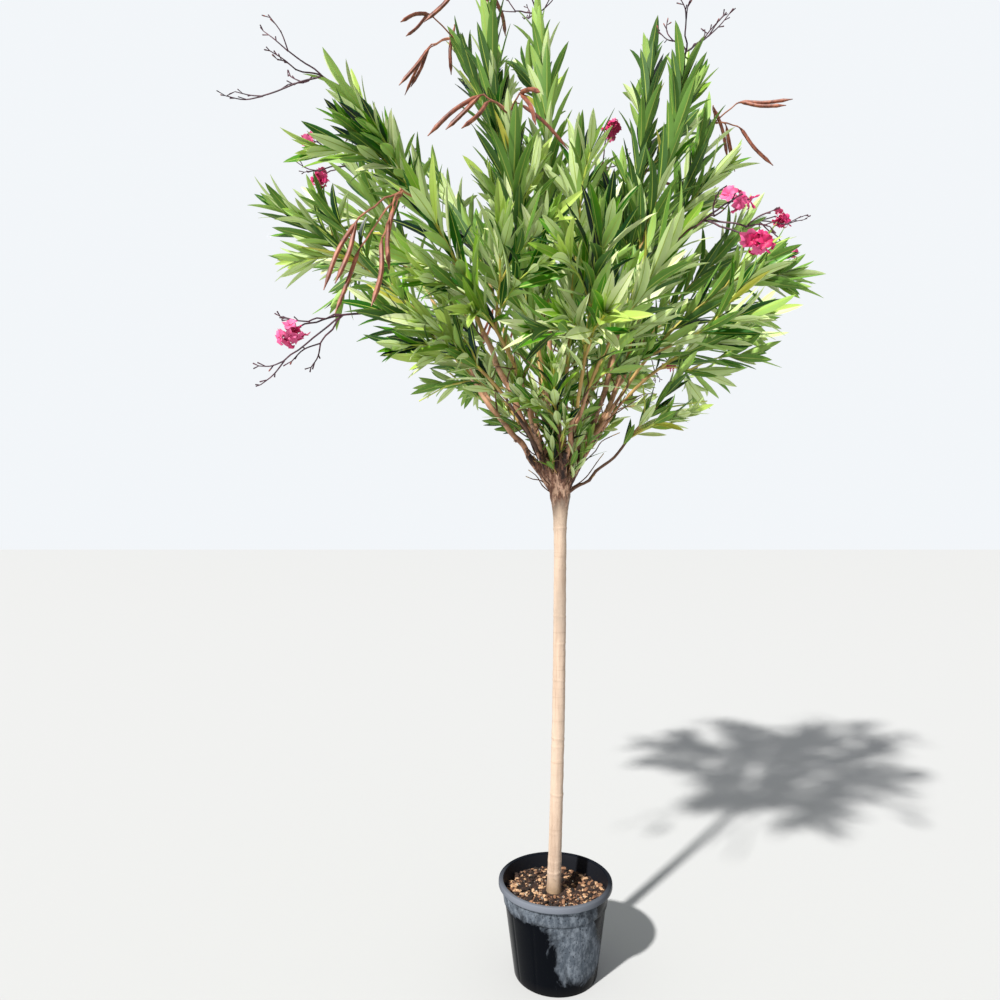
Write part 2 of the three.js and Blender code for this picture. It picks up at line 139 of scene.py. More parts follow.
def potPlastic():
    # black plastic under a film of dust, which is thickest below the lip and on one side of the front and fades
    # out at the far right edge, where that is painted shade; the lip is painted lighter towards the front as
    # painted highlight with some dust
    finish, tree, shader = newFinish("blackPotPlastic", Specular_IOR_Level=0.05)
    plastic = mixed(tree, grain(tree, 5, detail=4), (2, 4, 9), (6, 9, 15))
    side = reckon(tree, "MAXIMUM", across(tree, (1, 0, 0.45), -0.04, 0.075), height(tree, 0.165, 0.21))
    # the film fades out towards the far right edge, where this is painted shade, and over the bottom 6 cm
    rightShadeAndBareFoot = reckon(tree, "MULTIPLY", across(tree, (-1, 0, 0), -0.145, -0.095), height(tree, 0.0, 0.06))
    place = reckon(tree, "MULTIPLY", reckon(tree, "MULTIPLY", side, rightShadeAndBareFoot), 0.33)
    clouds = reckon(tree, "ADD", grain(tree, 9, (1, 1, 0.8), 10, 0.66, 0.9), place)
    film = ramp(tree, clouds, (0.68, 0.0), (0.75, 0.4), (0.9, 0.9))
    dusty = mixed(tree, film, plastic, (84, 92, 102))
    blotches = ramp(tree, grain(tree, 64, (1, 1, 0.5), 8, 0.72), (0.44, 0.0), (0.62, 0.8))
    washed = mixed(tree, reckon(tree, "MULTIPLY", blotches, film), dusty, (138, 146, 156))
    pits = ramp(tree, grain(tree, 150, detail=5), (0.36, 0.85), (0.43, 0.0))
    pitted = mixed(tree, reckon(tree, "MULTIPLY", pits, film), washed, (26, 30, 36))
    # the lip is lighter towards the front and left and darker at the back and right: painted highlight, with
    # some dust on its front
    lipHighlightAndDust = mixed(tree, across(tree, (-0.4, -1, 0), -0.03, 0.16), (18, 21, 28), (112, 117, 127))
    lip = mixed(tree, height(tree, 0.2405, 0.2425), pitted, lipHighlightAndDust)
    foot = mixed(tree, height(tree, 0.03, 0.0), lip, (20, 20, 22))
    rough = ramp(tree, film, (0.0, 0.24), (0.5, 0.58))
    wire(tree, shader, foot, rough, grain(tree, 260, detail=5), 0.22, 0.0006)
    return finish


def compost():
    finish, tree, shader = newFinish("pottingCompost", Roughness=0.95)
    base = ramp(tree, grain(tree, 60, detail=10, roughness=0.7),
                (0.3, (18, 12, 11)), (0.5, (58, 39, 32)), (0.74, (116, 84, 66)))
    flecks = ramp(tree, grain(tree, 260, detail=4), (0.62, 0.0), (0.7, 0.6))
    wire(tree, shader, mixed(tree, flecks, base, (150, 116, 82)), None,
         grain(tree, 140, detail=10, roughness=0.75), 1.0, 0.006)
    return finish


def stemBark():
    finish, tree, shader = newFinish("paleStemBark", Roughness=0.8)
    streaks = ramp(tree, grain(tree, 42, (1, 1, 0.08), 9, 0.68, 0.3),
                   (0.25, (158, 132, 112)), (0.48, (198, 174, 154)), (0.8, (216, 196, 178)))
    bands = ramp(tree, grain(tree, 17, (0.1, 0.1, 2.6), 7, 0.74), (0.34, 0.5), (0.46, 0.0))
    banded = mixed(tree, bands, streaks, (158, 132, 108))
    stains = ramp(tree, grain(tree, 8, (1, 1, 0.35), 9, 0.72), (0.55, 0.0), (0.72, 0.5))
    stained = mixed(tree, stains, banded, (152, 136, 118))
    flecks = ramp(tree, grain(tree, 120, (1, 1, 0.5), 5, 0.7), (0.62, 0.0), (0.72, 0.55))
    flecked = mixed(tree, flecks, stained, (108, 86, 66))
    earth = ramp(tree, grain(tree, 30, (1, 1, 0.6), 7, 0.7), (0.35, (122, 98, 74)), (0.7, (176, 148, 116)))
    foot = mixed(tree, height(tree, 0.27, 0.22), flecked, earth)
    # on the fork, patchy brown bark: its darkest tone is painted shade and its palest tone painted sun spots
    brown = ramp(tree, grain(tree, 32, (1, 1, 0.35), 9, 0.68),
                 (0.43, (46, 30, 25)), (0.52, (138, 96, 76)), (0.6, (244, 200, 172)))
    edge = reckon(tree, "MULTIPLY", height(tree, 1.23, 1.37), grain(tree, 34, (1, 1, 0.2), 8, 0.7))
    barkWithForkSunSpots = mixed(tree, ramp(tree, edge, (0.16, 0.0), (0.36, 1.0)), foot, brown)
    wire(tree, shader, barkWithForkSunSpots, None, grain(tree, 110, (1, 1, 0.22), 10, 0.72), 0.6, 0.0012)
    return finish


def limbBark(name, low, middle, high, patch=0.85, corkAndShadeLevel=0.38):
    # bark with darker patches of older cork, which on the old bark are partly painted shade
    finish, tree, shader = newFinish(name, Roughness=0.7)
    wood = ramp(tree, grain(tree, 22, (1, 1, 0.5), 8, 0.7), (0.32, low), (0.5, middle), (0.7, high))
    dark = ramp(tree, grain(tree, 34, (1, 1, 0.6), 9, 0.72), (corkAndShadeLevel, patch), (corkAndShadeLevel + 0.08, 0.0))
    wire(tree, shader, mixed(tree, dark, wood, (58, 42, 34)), None,
         grain(tree, 170, (1, 1, 0.4), 8, 0.7), 0.5, 0.0008)
    return finish


def grained(name, rough, pattern, stops, relief, strength, depth):
    # a finish whose colour follows one grain and its relief a finer one
    finish, tree, shader = newFinish(name, Roughness=rough)
    wire(tree, shader, ramp(tree, grain(tree, *pattern), *stops), None, grain(tree, *relief), strength, depth)
    return finish


def podSkin():
    return grained("dryPodSkin", 0.52, (70, (1, 1, 0.5), 7, 0.65),
                   ((0.3, (70, 36, 32)), (0.5, (138, 78, 58)), (0.76, (196, 124, 90))),
                   (240, (1, 1, 0.3), 6, 0.7), 0.4, 0.0006)


def stalkSkin(name, dark, pale):
    return grained(name, 0.6, (30,), ((0.35, dark), (0.65, pale)), (260, (1, 1, 1), 5), 0.3, 0.0005)


def mineral(name, dark, pale):
    return grained(name, 0.9, (90, (1, 1, 1), 9, 0.7), ((0.3, dark), (0.7, pale)),
                   (300, (1, 1, 1), 8, 0.75), 0.8, 0.002)


def plain(name, colour, rough=0.45, **shaderValues):
    finish, _, shader = newFinish(name, Roughness=rough, **shaderValues)
    shader.inputs["Base Color"].default_value = shown(colour)
    return finish


# meshes joined from many small shapes


def asArrays(bm):
    # a bmesh as arrays of places, corners, corner counts and material numbers, which frees it
    bm.verts.index_update()
    places = np.array([v.co[:] for v in bm.verts])
    corners = np.array([v.index for f in bm.faces for v in f.verts])
    counts = np.array([len(f.verts) for f in bm.faces])
    kinds = np.array([f.material_index for f in bm.faces])
    bm.free()
    return places, corners, counts, kinds


class Bundle:
    def __init__(self):
        self.parts, self.size = [], 0

    def add(self, shape, places, kinds=None):
        _, corners, counts, ownKinds = shape
        self.parts.append((places, corners + self.size, counts, ownKinds if kinds is None else kinds))
        self.size += len(places)

    def make(self, name, finishes, slot, nodes=(), sharp=60):
        places, corners, counts, kinds = (np.concatenate(column) for column in zip(*self.parts))
        mesh = bpy.data.meshes.new(name)
        mesh.vertices.add(len(places))
        mesh.vertices.foreach_set("co", places.ravel())
        mesh.loops.add(len(corners))
        mesh.loops.foreach_set("vertex_index", corners)
        mesh.polygons.add(len(counts))
        mesh.polygons.foreach_set("loop_start", np.concatenate([[0], np.cumsum(counts)[:-1]]))
        mesh.polygons.foreach_set("material_index", kinds)
        mesh.update(calc_edges=True)
        return addPiece(mesh, name, finishes, nodes, sharp)


def addPiece(mesh, name, finishes, nodes=(), sharp=60):
    for finish in finishes:
        mesh.materials.append(finish)
    mesh.shade_smooth()
    mesh.set_sharp_from_angle(angle=radians(sharp))
    piece = placed(name, mesh)
    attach(piece, "root")
    if nodes:
        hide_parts(*nodes)
    triangles = sum(len(f.vertices) - 2 for f in mesh.polygons)
    print(f"{name}: {triangles} triangles")
    return piece


# directions and lines, which the limbs grow by

up = np.array([0.0, 0.0, 1.0])
sideways = np.array([1.0, 0.0, 0.0])
fullTurn = 2 * pi


def mix(low, high, share):
    return low + (high - low) * share


def seeded(seed):
    # a stream of numbers between two bounds that is the same each time
    state = (seed * 2654435761) & 0xFFFFFFFF

    def draw(low=0, high=1):
        nonlocal state
        state = (state * 1664525 + 1013904223) & 0xFFFFFFFF
        return mix(low, high, state / 2**32)

    return draw


def unit(way):
    return way / np.linalg.norm(way)


def heading(azimuth, lean):
    a, l = radians(azimuth), radians(lean)
    return np.array([sin(l) * cos(a), sin(l) * sin(a), cos(l)])


def aside(way, angle, clock):
    # a direction turned away from another, towards a point of the clock round it
    u = unit(np.cross(way, sideways))
    v = np.cross(way, u)
    return way * cos(angle) + (u * cos(clock) + v * sin(clock)) * sin(angle)


def rolled(u, v, turn):
    # two directions turned in their own plane
    return u * cos(turn) + v * sin(turn), v * cos(turn) - u * sin(turn)


class Line:
    # a smooth line through points, read by shares of its length
    def __init__(self, points):
        self.knots = np.array(points, float)
        p = np.vstack([2 * self.knots[0] - self.knots[1], self.knots, 2 * self.knots[-1] - self.knots[-2]])
        t = np.linspace(0, 1, 9)[:-1, None]
        parts = []
        for a, b, c, d in zip(p, p[1:], p[2:], p[3:]):
            parts.append((2 * b + (c - a) * t + (2 * a - 5 * b + 4 * c - d) * t**2
                          + (3 * b - a - 3 * c + d) * t**3) / 2)
        self.points = np.vstack([*parts, self.knots[-1:]])
        steps = np.linalg.norm(np.diff(self.points, axis=0), axis=1)
        self.reached = np.concatenate([[0], np.cumsum(steps)])
        self.length = self.reached[-1]

    def at(self, shares):
        d = np.asarray(shares) * self.length
        return np.stack([np.interp(d, self.reached, self.points[:, i]) for i in range(3)], axis=-1)

    def way(self, share):
        return unit(self.at(min(share + 0.01, 1)) - self.at(max(share - 0.01, 0)))

    def stretch(self, low, high):
        return Line(self.at(np.linspace(low, high, limbRule["points"] + 1)))

    def beads(self, step=30):
        return self.at(np.linspace(0, 1, ceil(self.length / step) + 1))


# limbs, by the same rule and numbers as the solids

plant = {"foot": (-4, 0, 220.3), "height": 1112, "shift": 21}
limbRule = {"tipShare": 0.55, "wander": 0.018, "points": 12}
shootRule = {"root": 6, "tip": 3.4, "sideRoot": 4.2, "sideTip": 3, "sideCount": 2, "from": (0.16, 0.58),
             "spread": (30, 44), "share": (0.46, 0.62), "rise": 0.04}
leafRule = {"spacing": 132, "first": 70, "firstOnHead": 130}  # of the solids, to keep in step with their draws
stalkRule = {"length": 95, "branch": 100, "branches": 2, "spread": 26, "sag": 0.3, "droop": 0.6}
headCentre = np.array([plant["shift"], 0.0, plant["height"]])

# each limb: the limb it leaves and where; azimuth, lean and reach of its tip from the head in degrees and
# millimetres; how far it arches; how much of it is a bare bough; the bough's radius at its root
limbTable = {
    "top_middle": (None, (138, 3, 1380), 0.01, 0.47, 10),
    "left_high": (None, (195, 29, 1240), 0.03, 0.48, 11),
    "right_high": (None, (19, 13, 1350), -0.05, 0.48, 10.5),
    "right": (None, (3, 22, 1130), -0.02, 0.47, 9.5),
    "front": (None, (276, 44, 760), 0.06, 0.42, 8.5),
    "back": (None, (100, 33, 960), 0.06, 0.42, 9.5),
    "back_left_high": (None, (143, 24, 1160), 0.03, 0.45, 9),
    "far_left": (None, (184, 44, 1110), 0.05, 0.45, 9.5),
    "left_low": (None, (214, 51, 705), 0.11, 0.45, 7),
    "right_middle": (None, (347, 41, 840), 0.07, 0.45, 8),
    "back_right": (None, (58, 45, 860), 0.07, 0.44, 8.5),
    "lowest_left": (None, (165, 42, 620), 0.09, 0.38, 4.6),
    "right_twig": (None, (337, 46, 460), -0.07, 0, 0),
    "front_low": (None, (262, 40, 410), 0.06, 0, 0),
    "left_flower": (("far_left", 0.4), (169, 32, 1150), -0.02, 0.38, 6.5),
    "top_left": (("top_middle", 0.75), (174, 12, 1330), 0.02, 0.24, 6),
    "top_front": (("top_middle", 0.16), (225, 13, 1250), -0.03, 0.42, 7.5),
    "front_left": (("left_high", 0.22), (235, 43, 850), 0.06, 0.4, 6.5),
    "upper_front": (None, (244, 21, 920), -0.02, 0.4, 7),
    "centre_back": (("top_middle", 0.42), (56, 15, 1030), -0.04, 0.34, 6.5),
    "top_right": (("right_high", 0.3), (339, 17, 1190), -0.03, 0.4, 7),
    "far_right": (("right", 0.42), (20, 36, 1090), 0.03, 0.36, 6.5),
    "right_low": (("right_middle", 0.45), (6, 46, 770), 0.06, 0.3, 5.5),
    "front_right": (("front", 0.4), (301, 38, 740), 0.05, 0.36, 6.5),
    "back_left": (("back", 0.4), (128, 45, 900), 0.06, 0.36, 6.5),
    "back_right_high": (("back_right", 0.34), (50, 26, 1100), -0.02, 0.42, 7),
    "inner_front": (("front", 0.18), (291, 7, 940), -0.03, 0.3, 6),
    "inner_back": (("back", 0.16), (120, 15, 880), -0.03, 0.3, 6),
}
lone = {"top_right": 0, "right_twig": 0}  # side shoots, where there aren't as many as usual
late = {"right_twig": 250}  # where the first leaves are, when further along than usual
# limbs whose twigs and leaves lie closer to the stem, by share
slim = {"top_left": 0.5, "top_middle": 0.65, "top_front": 0.65, "upper_front": 0.65, "right_high": 0.7,
        "top_right": 0.7, "left_high": 0.85, "back_left_high": 0.8, "right": 0.8}
endings = {
    "stalks": ("top_middle", "left_high", "back_left_high", "top_right"),
    "pods": ("right", "back", "top_left", "top_front", "front_left", "upper_front", "back_right_high"),
    "blossom": ("left_low", "back_right", "left_flower", "centre_back", "far_right", "front_right"),
}


def arc(start, tip, rise, phase):
    chord = tip - start
    length = np.linalg.norm(chord)
    over = unit(up - chord * chord[2] / length**2)
    side = unit(np.cross(chord, over))
    points = []
    for i in range(limbRule["points"] + 1):
        t = i / limbRule["points"]
        wind = limbRule["wander"] * length * sin(pi * t)
        lift = 4 * rise * length * t * (1 - t) + wind * cos(phase + 5 * t)
        points.append(start + chord * t + over * lift + side * wind * sin(phase + 5 * t))
    return Line(points)


def sagging(start, way, length):
    out = np.array([way[0], way[1], 0])
    return start + (way + out * stalkRule["sag"] - up * stalkRule["droop"] * np.linalg.norm(out)) * length


def planLimbs():
    limbs = {}
    for index, (name, (parent, (azimuth, lean, reach), rise, bare, radius)) in enumerate(limbTable.items()):
        phase = fullTurn * seeded(index + 1)()
        start = limbs[parent[0]]["bough"].at(parent[1]) if parent else headCentre
        line = arc(start, headCentre + heading(azimuth, lean) * reach, rise, phase)
        bough = line.stretch(0, bare) if bare else None
        end = next((kind for kind, names in endings.items() if name in names), None)
        limbs[name] = {"name": name, "index": index, "line": line, "bough": bough, "bare": bare,
                       "radius": radius, "end": end, "onHead": parent is None}
    return limbs


def planShoots(limb):
    draw = seeded(100 + limb["index"])
    start = limb["bare"] + 0.3 / limb["line"].length if limb["bough"] else 0
    stem = limb["line"].stretch(start, 1)
    tail = [sagging(stem.at(1), stem.way(1), stalkRule["length"])] if limb["end"] else []
    first = late.get(limb["name"], leafRule["first" if limb["bough"] else "firstOnHead"])
    shoots = [{"line": stem, "drawn": Line([*stem.knots, *tail]), "first": first,
               "root": shootRule["root"], "tip": shootRule["tip"]}]
    clock = fullTurn * draw()
    for k in range(lone.get(limb["name"], shootRule["sideCount"])):
        at = mix(*shootRule["from"], (k + 0.6 * draw()) / shootRule["sideCount"])
        spread = radians(draw(*shootRule["spread"]))
        off = aside(stem.way(at), spread, clock + k * 0.4 * fullTurn)
        reach = stem.length * draw(*shootRule["share"])
        begin = stem.at(at)
        line = arc(begin, begin + off * reach, shootRule["rise"], fullTurn * draw())
        shoots.append({"line": line, "first": leafRule["first"],
                       "root": shootRule["sideRoot"], "tip": shootRule["sideTip"]})
    return shoots


class Room:
    # the space of each mass of foliage: nearer to its own shoots than to any other's, and clear of the boughs
    def __init__(self, masses, boughs):
        self.boughBeads = np.vstack([b["bough"].beads() for b in boughs])
        radii = [mix(1, limbRule["tipShare"], np.linspace(0, 1, len(b["bough"].beads()))) * b["radius"]
                 for b in boughs]
        self.boughRadii = np.concatenate(radii)
        self.settle([m["shoots"][:1] for m in masses])

    def settle(self, shootLists):
        lists = [np.vstack([s["line"].beads() for s in shoots]) for shoots in shootLists]
        self.beads = np.vstack(lists)
        self.starts = np.cumsum([0] + [len(beads) for beads in lists[:-1]])

    def holds(self, point, own, clearance):
        near = np.minimum.reduceat(np.linalg.norm(self.beads - point, axis=1), self.starts)
        mine = near[own] + clearance
        near[own] = np.inf
        clear = np.linalg.norm(self.boughBeads - point, axis=1) > self.boughRadii + clearance
        return near.min() > mine and clear.all()


limbs = planLimbs()
masses = [{**limb, "shoots": planShoots(limb)} for limb in limbs.values()]
boughs = [limb for limb in limbs.values() if limb["bough"]]
room = Room(masses, boughs)
for own, mass in enumerate(masses):
    mass["shoots"] = [s for k, s in enumerate(mass["shoots"])
                      if k == 0 or all(room.holds(p, own, 14) for p in s["line"].beads()[1:])]
room.settle([mass["shoots"] for mass in masses])
print(f"limbs planned: {len(boughs)} boughs, {sum(len(m['shoots']) for m in masses)} shoots")

# finer twigs on the shoots, which keep to the space of their mass
twigRule = {"count": 5, "clearance": 6, "from": (0.06, 0.8), "spread": (24, 46), "reach": (110, 250),
            "tries": 5, "root": 3.2, "tip": 2.2, "rise": 0.05, "first": 24}


def addTwigs(mass, own):
    draw = seeded(300 + own)
    hosts, narrow = list(mass["shoots"]), slim.get(mass["name"], 1)
    low, high = twigRule["from"]
    if not mass["bough"]:
        low = hosts[0]["first"] / hosts[0]["line"].length
    for k in range(twigRule["count"]):
        host = hosts[k % len(hosts)]["line"]
        for _ in range(twigRule["tries"]):
            at = draw(low, high)
            spread, clock = narrow * radians(draw(*twigRule["spread"])), fullTurn * draw()
            reach, phase = draw(*twigRule["reach"]) * mix(1, 0.6, at), fullTurn * draw()
            begin = host.at(at)
            line = arc(begin, begin + aside(host.way(at), spread, clock) * reach, twigRule["rise"], phase)
            if all(room.holds(p, own, twigRule["clearance"]) for p in line.beads()[2:]):
                mass["shoots"].append({"line": line, "first": twigRule["first"], "root": twigRule["root"],
                                       "tip": twigRule["tip"], "fine": True})
                break


for own, mass in enumerate(masses):
    addTwigs(mass, own)
print(f"twigs added: {sum(len(m['shoots']) for m in masses)} shoots in all")


def inFrame(points):
    # from the plant's millimetres to the scene's metres
    return (np.asarray(points) + plant["foot"]) * mm


# tubes for boughs, shoots and stalks

tubeShapes = {}


def ringedBar(cuts, **size):
    # an upright bar, a unit high, with rings round it
    bm = bmesh.new()
    ops.create_cone(bm, cap_ends=True, depth=1, **size)
    upright = [e for e in bm.edges if abs(e.verts[0].co.z - e.verts[1].co.z) > 0.5]
    ops.subdivide_edges(bm, edges=upright, cuts=cuts, use_grid_fill=True)
    return bm


def unitTube(sides, rings):
    if (sides, rings) not in tubeShapes:
        tubeShapes[sides, rings] = asArrays(ringedBar(rings - 1, segments=sides, radius1=1, radius2=1))
    return tubeShapes[sides, rings]


def bent(shape, line, radiusAt, rings):
    # a unit tube laid along a line: its rings are carried on from one to the next without a twist
    shares = np.linspace(0, 1, rings + 1)
    centres = line.at(shares)
    ways = np.array([line.way(s) for s in shares])
    u = [unit(np.cross(ways[0], sideways + 0.01 * up))]
    for way in ways[1:]:
        u.append(unit(u[-1] - way * np.dot(u[-1], way)))
    u = np.array(u)
    v = np.cross(ways, u)
    places = shape[0]
    ring = np.rint((places[:, 2] + 0.5) * rings).astype(int)
    radii = np.array([radiusAt(s) for s in shares])[ring][:, None]
    return centres[ring] + (u[ring] * places[:, :1] + v[ring] * places[:, 1:2]) * radii, shares[ring]


def bandOf(shape, bands, first=0):
    # a tube's faces numbered by the stretches of its length that they lie in
    starts = np.cumsum(shape[2]) - shape[2]
    shares = np.add.reduceat(shape[0][shape[1], 2], starts) / shape[2] + 0.5
    return first + np.digitize(shares, bands)


def addTube(bundle, line, radiusAt, sides, rings, kind=0, bands=()):
    shape = unitTube(sides, rings)
    places, _ = bent(shape, line, radiusAt, rings)
    bundle.add(shape, inFrame(places), bandOf(shape, bands, kind))


def kinked(line, step, size, seed):
    # a line with small bends at its knots; its two ends stay where they are
    draw = seeded(seed)
    count = max(4, round(line.length / step))
    points = []
    for k in range(count + 1):
        t = k / count
        away = aside(line.way(t), pi / 2, fullTurn * draw())
        points.append(line.at(t) + away * size * (0.4 + draw()) * min(1, 4 * t, 4 * (1 - t)))
    return Line(points)


# trunk with its swollen fork

trunk = {"bow": 5, "flare": 22.5, "foot": 18.8, "top": 17.4, "swell": 12.5, "sides": 48, "rings": 220,
         "voxel": 2.2, "nodes": 15, "nodeLift": 0.55, "nodeWidth": 0.004, "grooveWidth": 0.002, "stub": 150,
         "stubSwell": 10, "head": (30, 30, 44), "headLift": 8, "smoothed": 5, "fork": 1.27, "forkHigh": 0.11,
         "melts": 4, "flutes": (0.55, 2.6), "lumps": 0.75, "rough": (0.25, 0.75)}


def trunkLine():
    points = [(trunk["bow"] * sin(pi * t) + plant["shift"] * t, 0, plant["height"] * t)
              for t in (-0.01, 0.25, 0.5, 0.75, 1)]
    return Line(points)


def trunkRadius(t):
    flare = (trunk["flare"] - trunk["foot"]) * (1 - t) ** 24
    return mix(trunk["foot"], trunk["top"], t) + flare + trunk["swell"] * t**26


def modified(mesh, kind, **settings):
    # the mesh that one modifier makes of another
    holder = placed("holder", mesh)
    modifier = holder.modifiers.new(kind.lower(), kind)
    for key, value in settings.items():
        setattr(modifier, key, value)
    made = bpy.data.meshes.new_from_object(holder.evaluated_get(bpy.context.evaluated_depsgraph_get()))
    bpy.data.objects.remove(holder)
    return made


def smoothed(bm, verts, times):
    for _ in range(times):
        ops.smooth_vert(bm, verts=verts, factor=0.5, use_axis_x=True, use_axis_y=True, use_axis_z=True)


def buildTrunk():
    bundle = Bundle()
    addTube(bundle, trunkLine(), trunkRadius, trunk["sides"], trunk["rings"])
    bm = bmesh.new()
    ops.create_icosphere(bm, subdivisions=4, radius=1)
    ops.scale(bm, vec=trunk["head"], verts=bm.verts)
    ops.translate(bm, vec=headCentre + up * trunk["headLift"], verts=bm.verts)
    head = asArrays(bm)
    bundle.add(head, inFrame(head[0]))
    for limb in boughs:
        if limb["onHead"]:
            share = trunk["stub"] / limb["bough"].length
            stub = limb["bough"].stretch(0, share)
            swell = trunk["stubSwell"] * min(1, limb["radius"] / 9)
            addTube(bundle, stub, lambda t: limb["radius"] * (1 - 0.06 * t) + swell * (1 - t) ** 1.2, 20, 16)
    whole = bundle.make("trunkParts", [], "trunk_bark")
    mesh = modified(whole.data, "REMESH", mode="VOXEL", voxel_size=trunk["voxel"] * mm)
    bpy.data.objects.remove(whole)
    bm = bmesh.new()
    bm.from_mesh(mesh)
    smoothed(bm, bm.verts, trunk["smoothed"])
    fork = trunk["fork"]
    smoothed(bm, [v for v in bm.verts if fork < v.co.z < fork + trunk["forkHigh"]], trunk["melts"])
    below, tall = plant["foot"][2] * mm, plant["height"] * mm
    nodes = [(below + tall * (0.05 + 0.9 * (k + 0.6 * sin(5.1 * k)) / trunk["nodes"]),
              trunk["nodeLift"] * (0.9 + 0.6 * sin(2.3 * k + 1))) for k in range(trunk["nodes"])]
    bm.normal_update()

    def ringAt(z, width):
        return max(exp(-((z - h) / width) ** 2) * lift for h, lift in nodes)

    for v in bm.verts:
        x, y, z = v.co
        tilted = z + 0.12 * x * sin(z * 40) + 0.1 * y * cos(z * 31)
        ring, groove = ringAt(tilted, trunk["nodeWidth"]), ringAt(tilted - 0.005, trunk["grooveWidth"]) * 0.4
        fluted = min(1, max(0, (z - fork) / 0.06))
        flutes = noise(Vector((x * 90, y * 90, z * 9))) * mix(*trunk["flutes"], fluted)
        lumps = noise(v.co * 38 + Vector((4, 0, 0))) * trunk["lumps"]
        rough = noise(v.co * 170) * trunk["rough"][z > fork]
        v.co += v.normal * (ring - groove + flutes + lumps + rough) * mm
    for v in bm.verts:
        if v.co.z < below + 0.0015:
            v.co.z = below
    addPiece(toMesh(bm, "trunk_bark_mesh"), "trunk_bark_mesh", [stemBark()], ["trunk"])


buildTrunk()

# boughs, with the swellings where leaves have been

bough = {"sides": 12, "ringStep": 7, "knots": 46, "knotLift": 0.12, "knotWidth": 4, "collar": 0.35,
         "roughness": 0.1, "kink": 4.5, "bands": (0.34, 0.86), "dark": ("lowest_left", "left_low")}


def buildBoughs():
    bundle = Bundle()
    for limb in boughs:
        line, radius = kinked(limb["bough"], bough["knots"], bough["kink"], 700 + limb["index"]), limb["radius"]
        rings = round(line.length / bough["ringStep"])
        phase = limb["index"] * 1.7

        def radiusAt(t):
            along = t * line.length
            off = (along + 9 * phase) % bough["knots"] - bough["knots"] / 2
            knot = exp(-((off / bough["knotWidth"]) ** 2))
            collar = 0 if limb["onHead"] else bough["collar"] * exp(-along / 9)
            return radius * (mix(1, limbRule["tipShare"], t) + bough["knotLift"] * knot + collar)

        shape = unitTube(bough["sides"], rings)
        places, shares = bent(shape, line, radiusAt, rings)
        centre = line.at(shares)
        for i, p in enumerate(places):
            lump = noise(Vector(p * 0.045)) + 0.5 * noise(Vector(p * 0.17))
            places[i] = centre[i] + (p - centre[i]) * (1 + bough["roughness"] * lump)
        bands, kind = ((), 3) if limb["name"] in bough["dark"] else (bough["bands"], 0)
        bundle.add(shape, inFrame(places), bandOf(shape, bands, kind))
    nodes = ["bough_" + limb["name"] for limb in boughs]
    finishes = [
        # the old bark's palest tone is painted highlight, like the sun spots on the fork
        limbBark("boughBarkOldWithPaintedLight", (122, 82, 64), (208, 156, 126), (244, 208, 184), 0.9, 0.44),
        limbBark("boughBarkPink", (132, 92, 70), (202, 150, 116), (228, 186, 152), 0.7),
        limbBark("boughBarkYoung", (150, 116, 62), (202, 164, 92), (220, 192, 112), 0.5),
        limbBark("boughBarkDark", (44, 30, 26), (86, 60, 48), (150, 112, 88), 0.9),
    ]
    bundle.make("boughs_bark_mesh", finishes, "bough_bark", nodes)


buildBoughs()

# leafy shoots and twigs

# small twigs on the boughs and round the fork, some of them bare
spurRule = {"count": 4, "from": (0.1, 0.98), "spread": (26, 62), "reach": (80, 210), "root": 2.6, "tip": 1.4,
            "bare": (0.75, 0.25), "kink": 5, "step": 34, "leafSize": (0.38, 0.66), "lowest": 0.75, "clear": 90}
# each twig on the fork: azimuth, lean, reach, and whether it is bare
forkTwigs = ((168, 36, 200, 1), (184, 50, 120, 1), (18, 47, 190, 1), (248, 30, 170, 0), (292, 34, 190, 0),
             (335, 60, 120, 1), (60, 60, 130, 1), (215, 40, 150, 1), (318, 34, 170, 0), (140, 34, 180, 1))


def planSpurs():
    spurs, draw = [], seeded(900)
    for limb in boughs:
        for k in range(spurRule["count"]):
            at = mix(*spurRule["from"], (k + draw()) / spurRule["count"])
            spread, clock = radians(draw(*spurRule["spread"])), fullTurn * draw()
            reach, bare = draw(*spurRule["reach"]), draw() < mix(*spurRule["bare"], min(1, 2.5 * at))
            begin = limb["bough"].at(at)
            way = aside(limb["bough"].way(at), spread, clock)
            x, y, z = begin + way * reach - headCentre
            if z < spurRule["lowest"] * hypot(x, y) + spurRule["clear"] * (x < 0):
                reach, bare = reach * 0.5, True  # short and bare below the crown
            spurs.append((arc(begin, begin + way * reach, 0.05, fullTurn * draw()), bare))
    for azimuth, lean, reach, bare in forkTwigs:
        line = arc(headCentre, headCentre + heading(azimuth, lean) * reach, -0.05, fullTurn * draw())
        spurs.append((line, bare))
    return [{"line": kinked(line, spurRule["step"], spurRule["kink"], 950 + k), "bare": bare,
             "first": 0.4 * line.length, "leafSize": draw(*spurRule["leafSize"])}
            for k, (line, bare) in enumerate(spurs)]


shootKnots = {"spacing": 31, "lift": 0.16, "thickness": 0.82}
# each kind of shoot: the first of the four finishes that it has, and where the next ones begin
shootKinds = {"fine": (2, (0.3,)), "onBough": (1, (0.3,)), "onHead": (0, (0.55, 0.8)), "spur": (0, (0.5, 0.8)),
              "bareSpur": (0, (0.9,))}


def shootBark(line, first, root, tip):
    def radiusAt(t):
        swell = shootKnots["lift"] * cos(fullTurn * (t * line.length - first) / shootKnots["spacing"])
        return mix(root, tip, t) * shootKnots["thickness"] * (1 + max(0, swell))

    return radiusAt


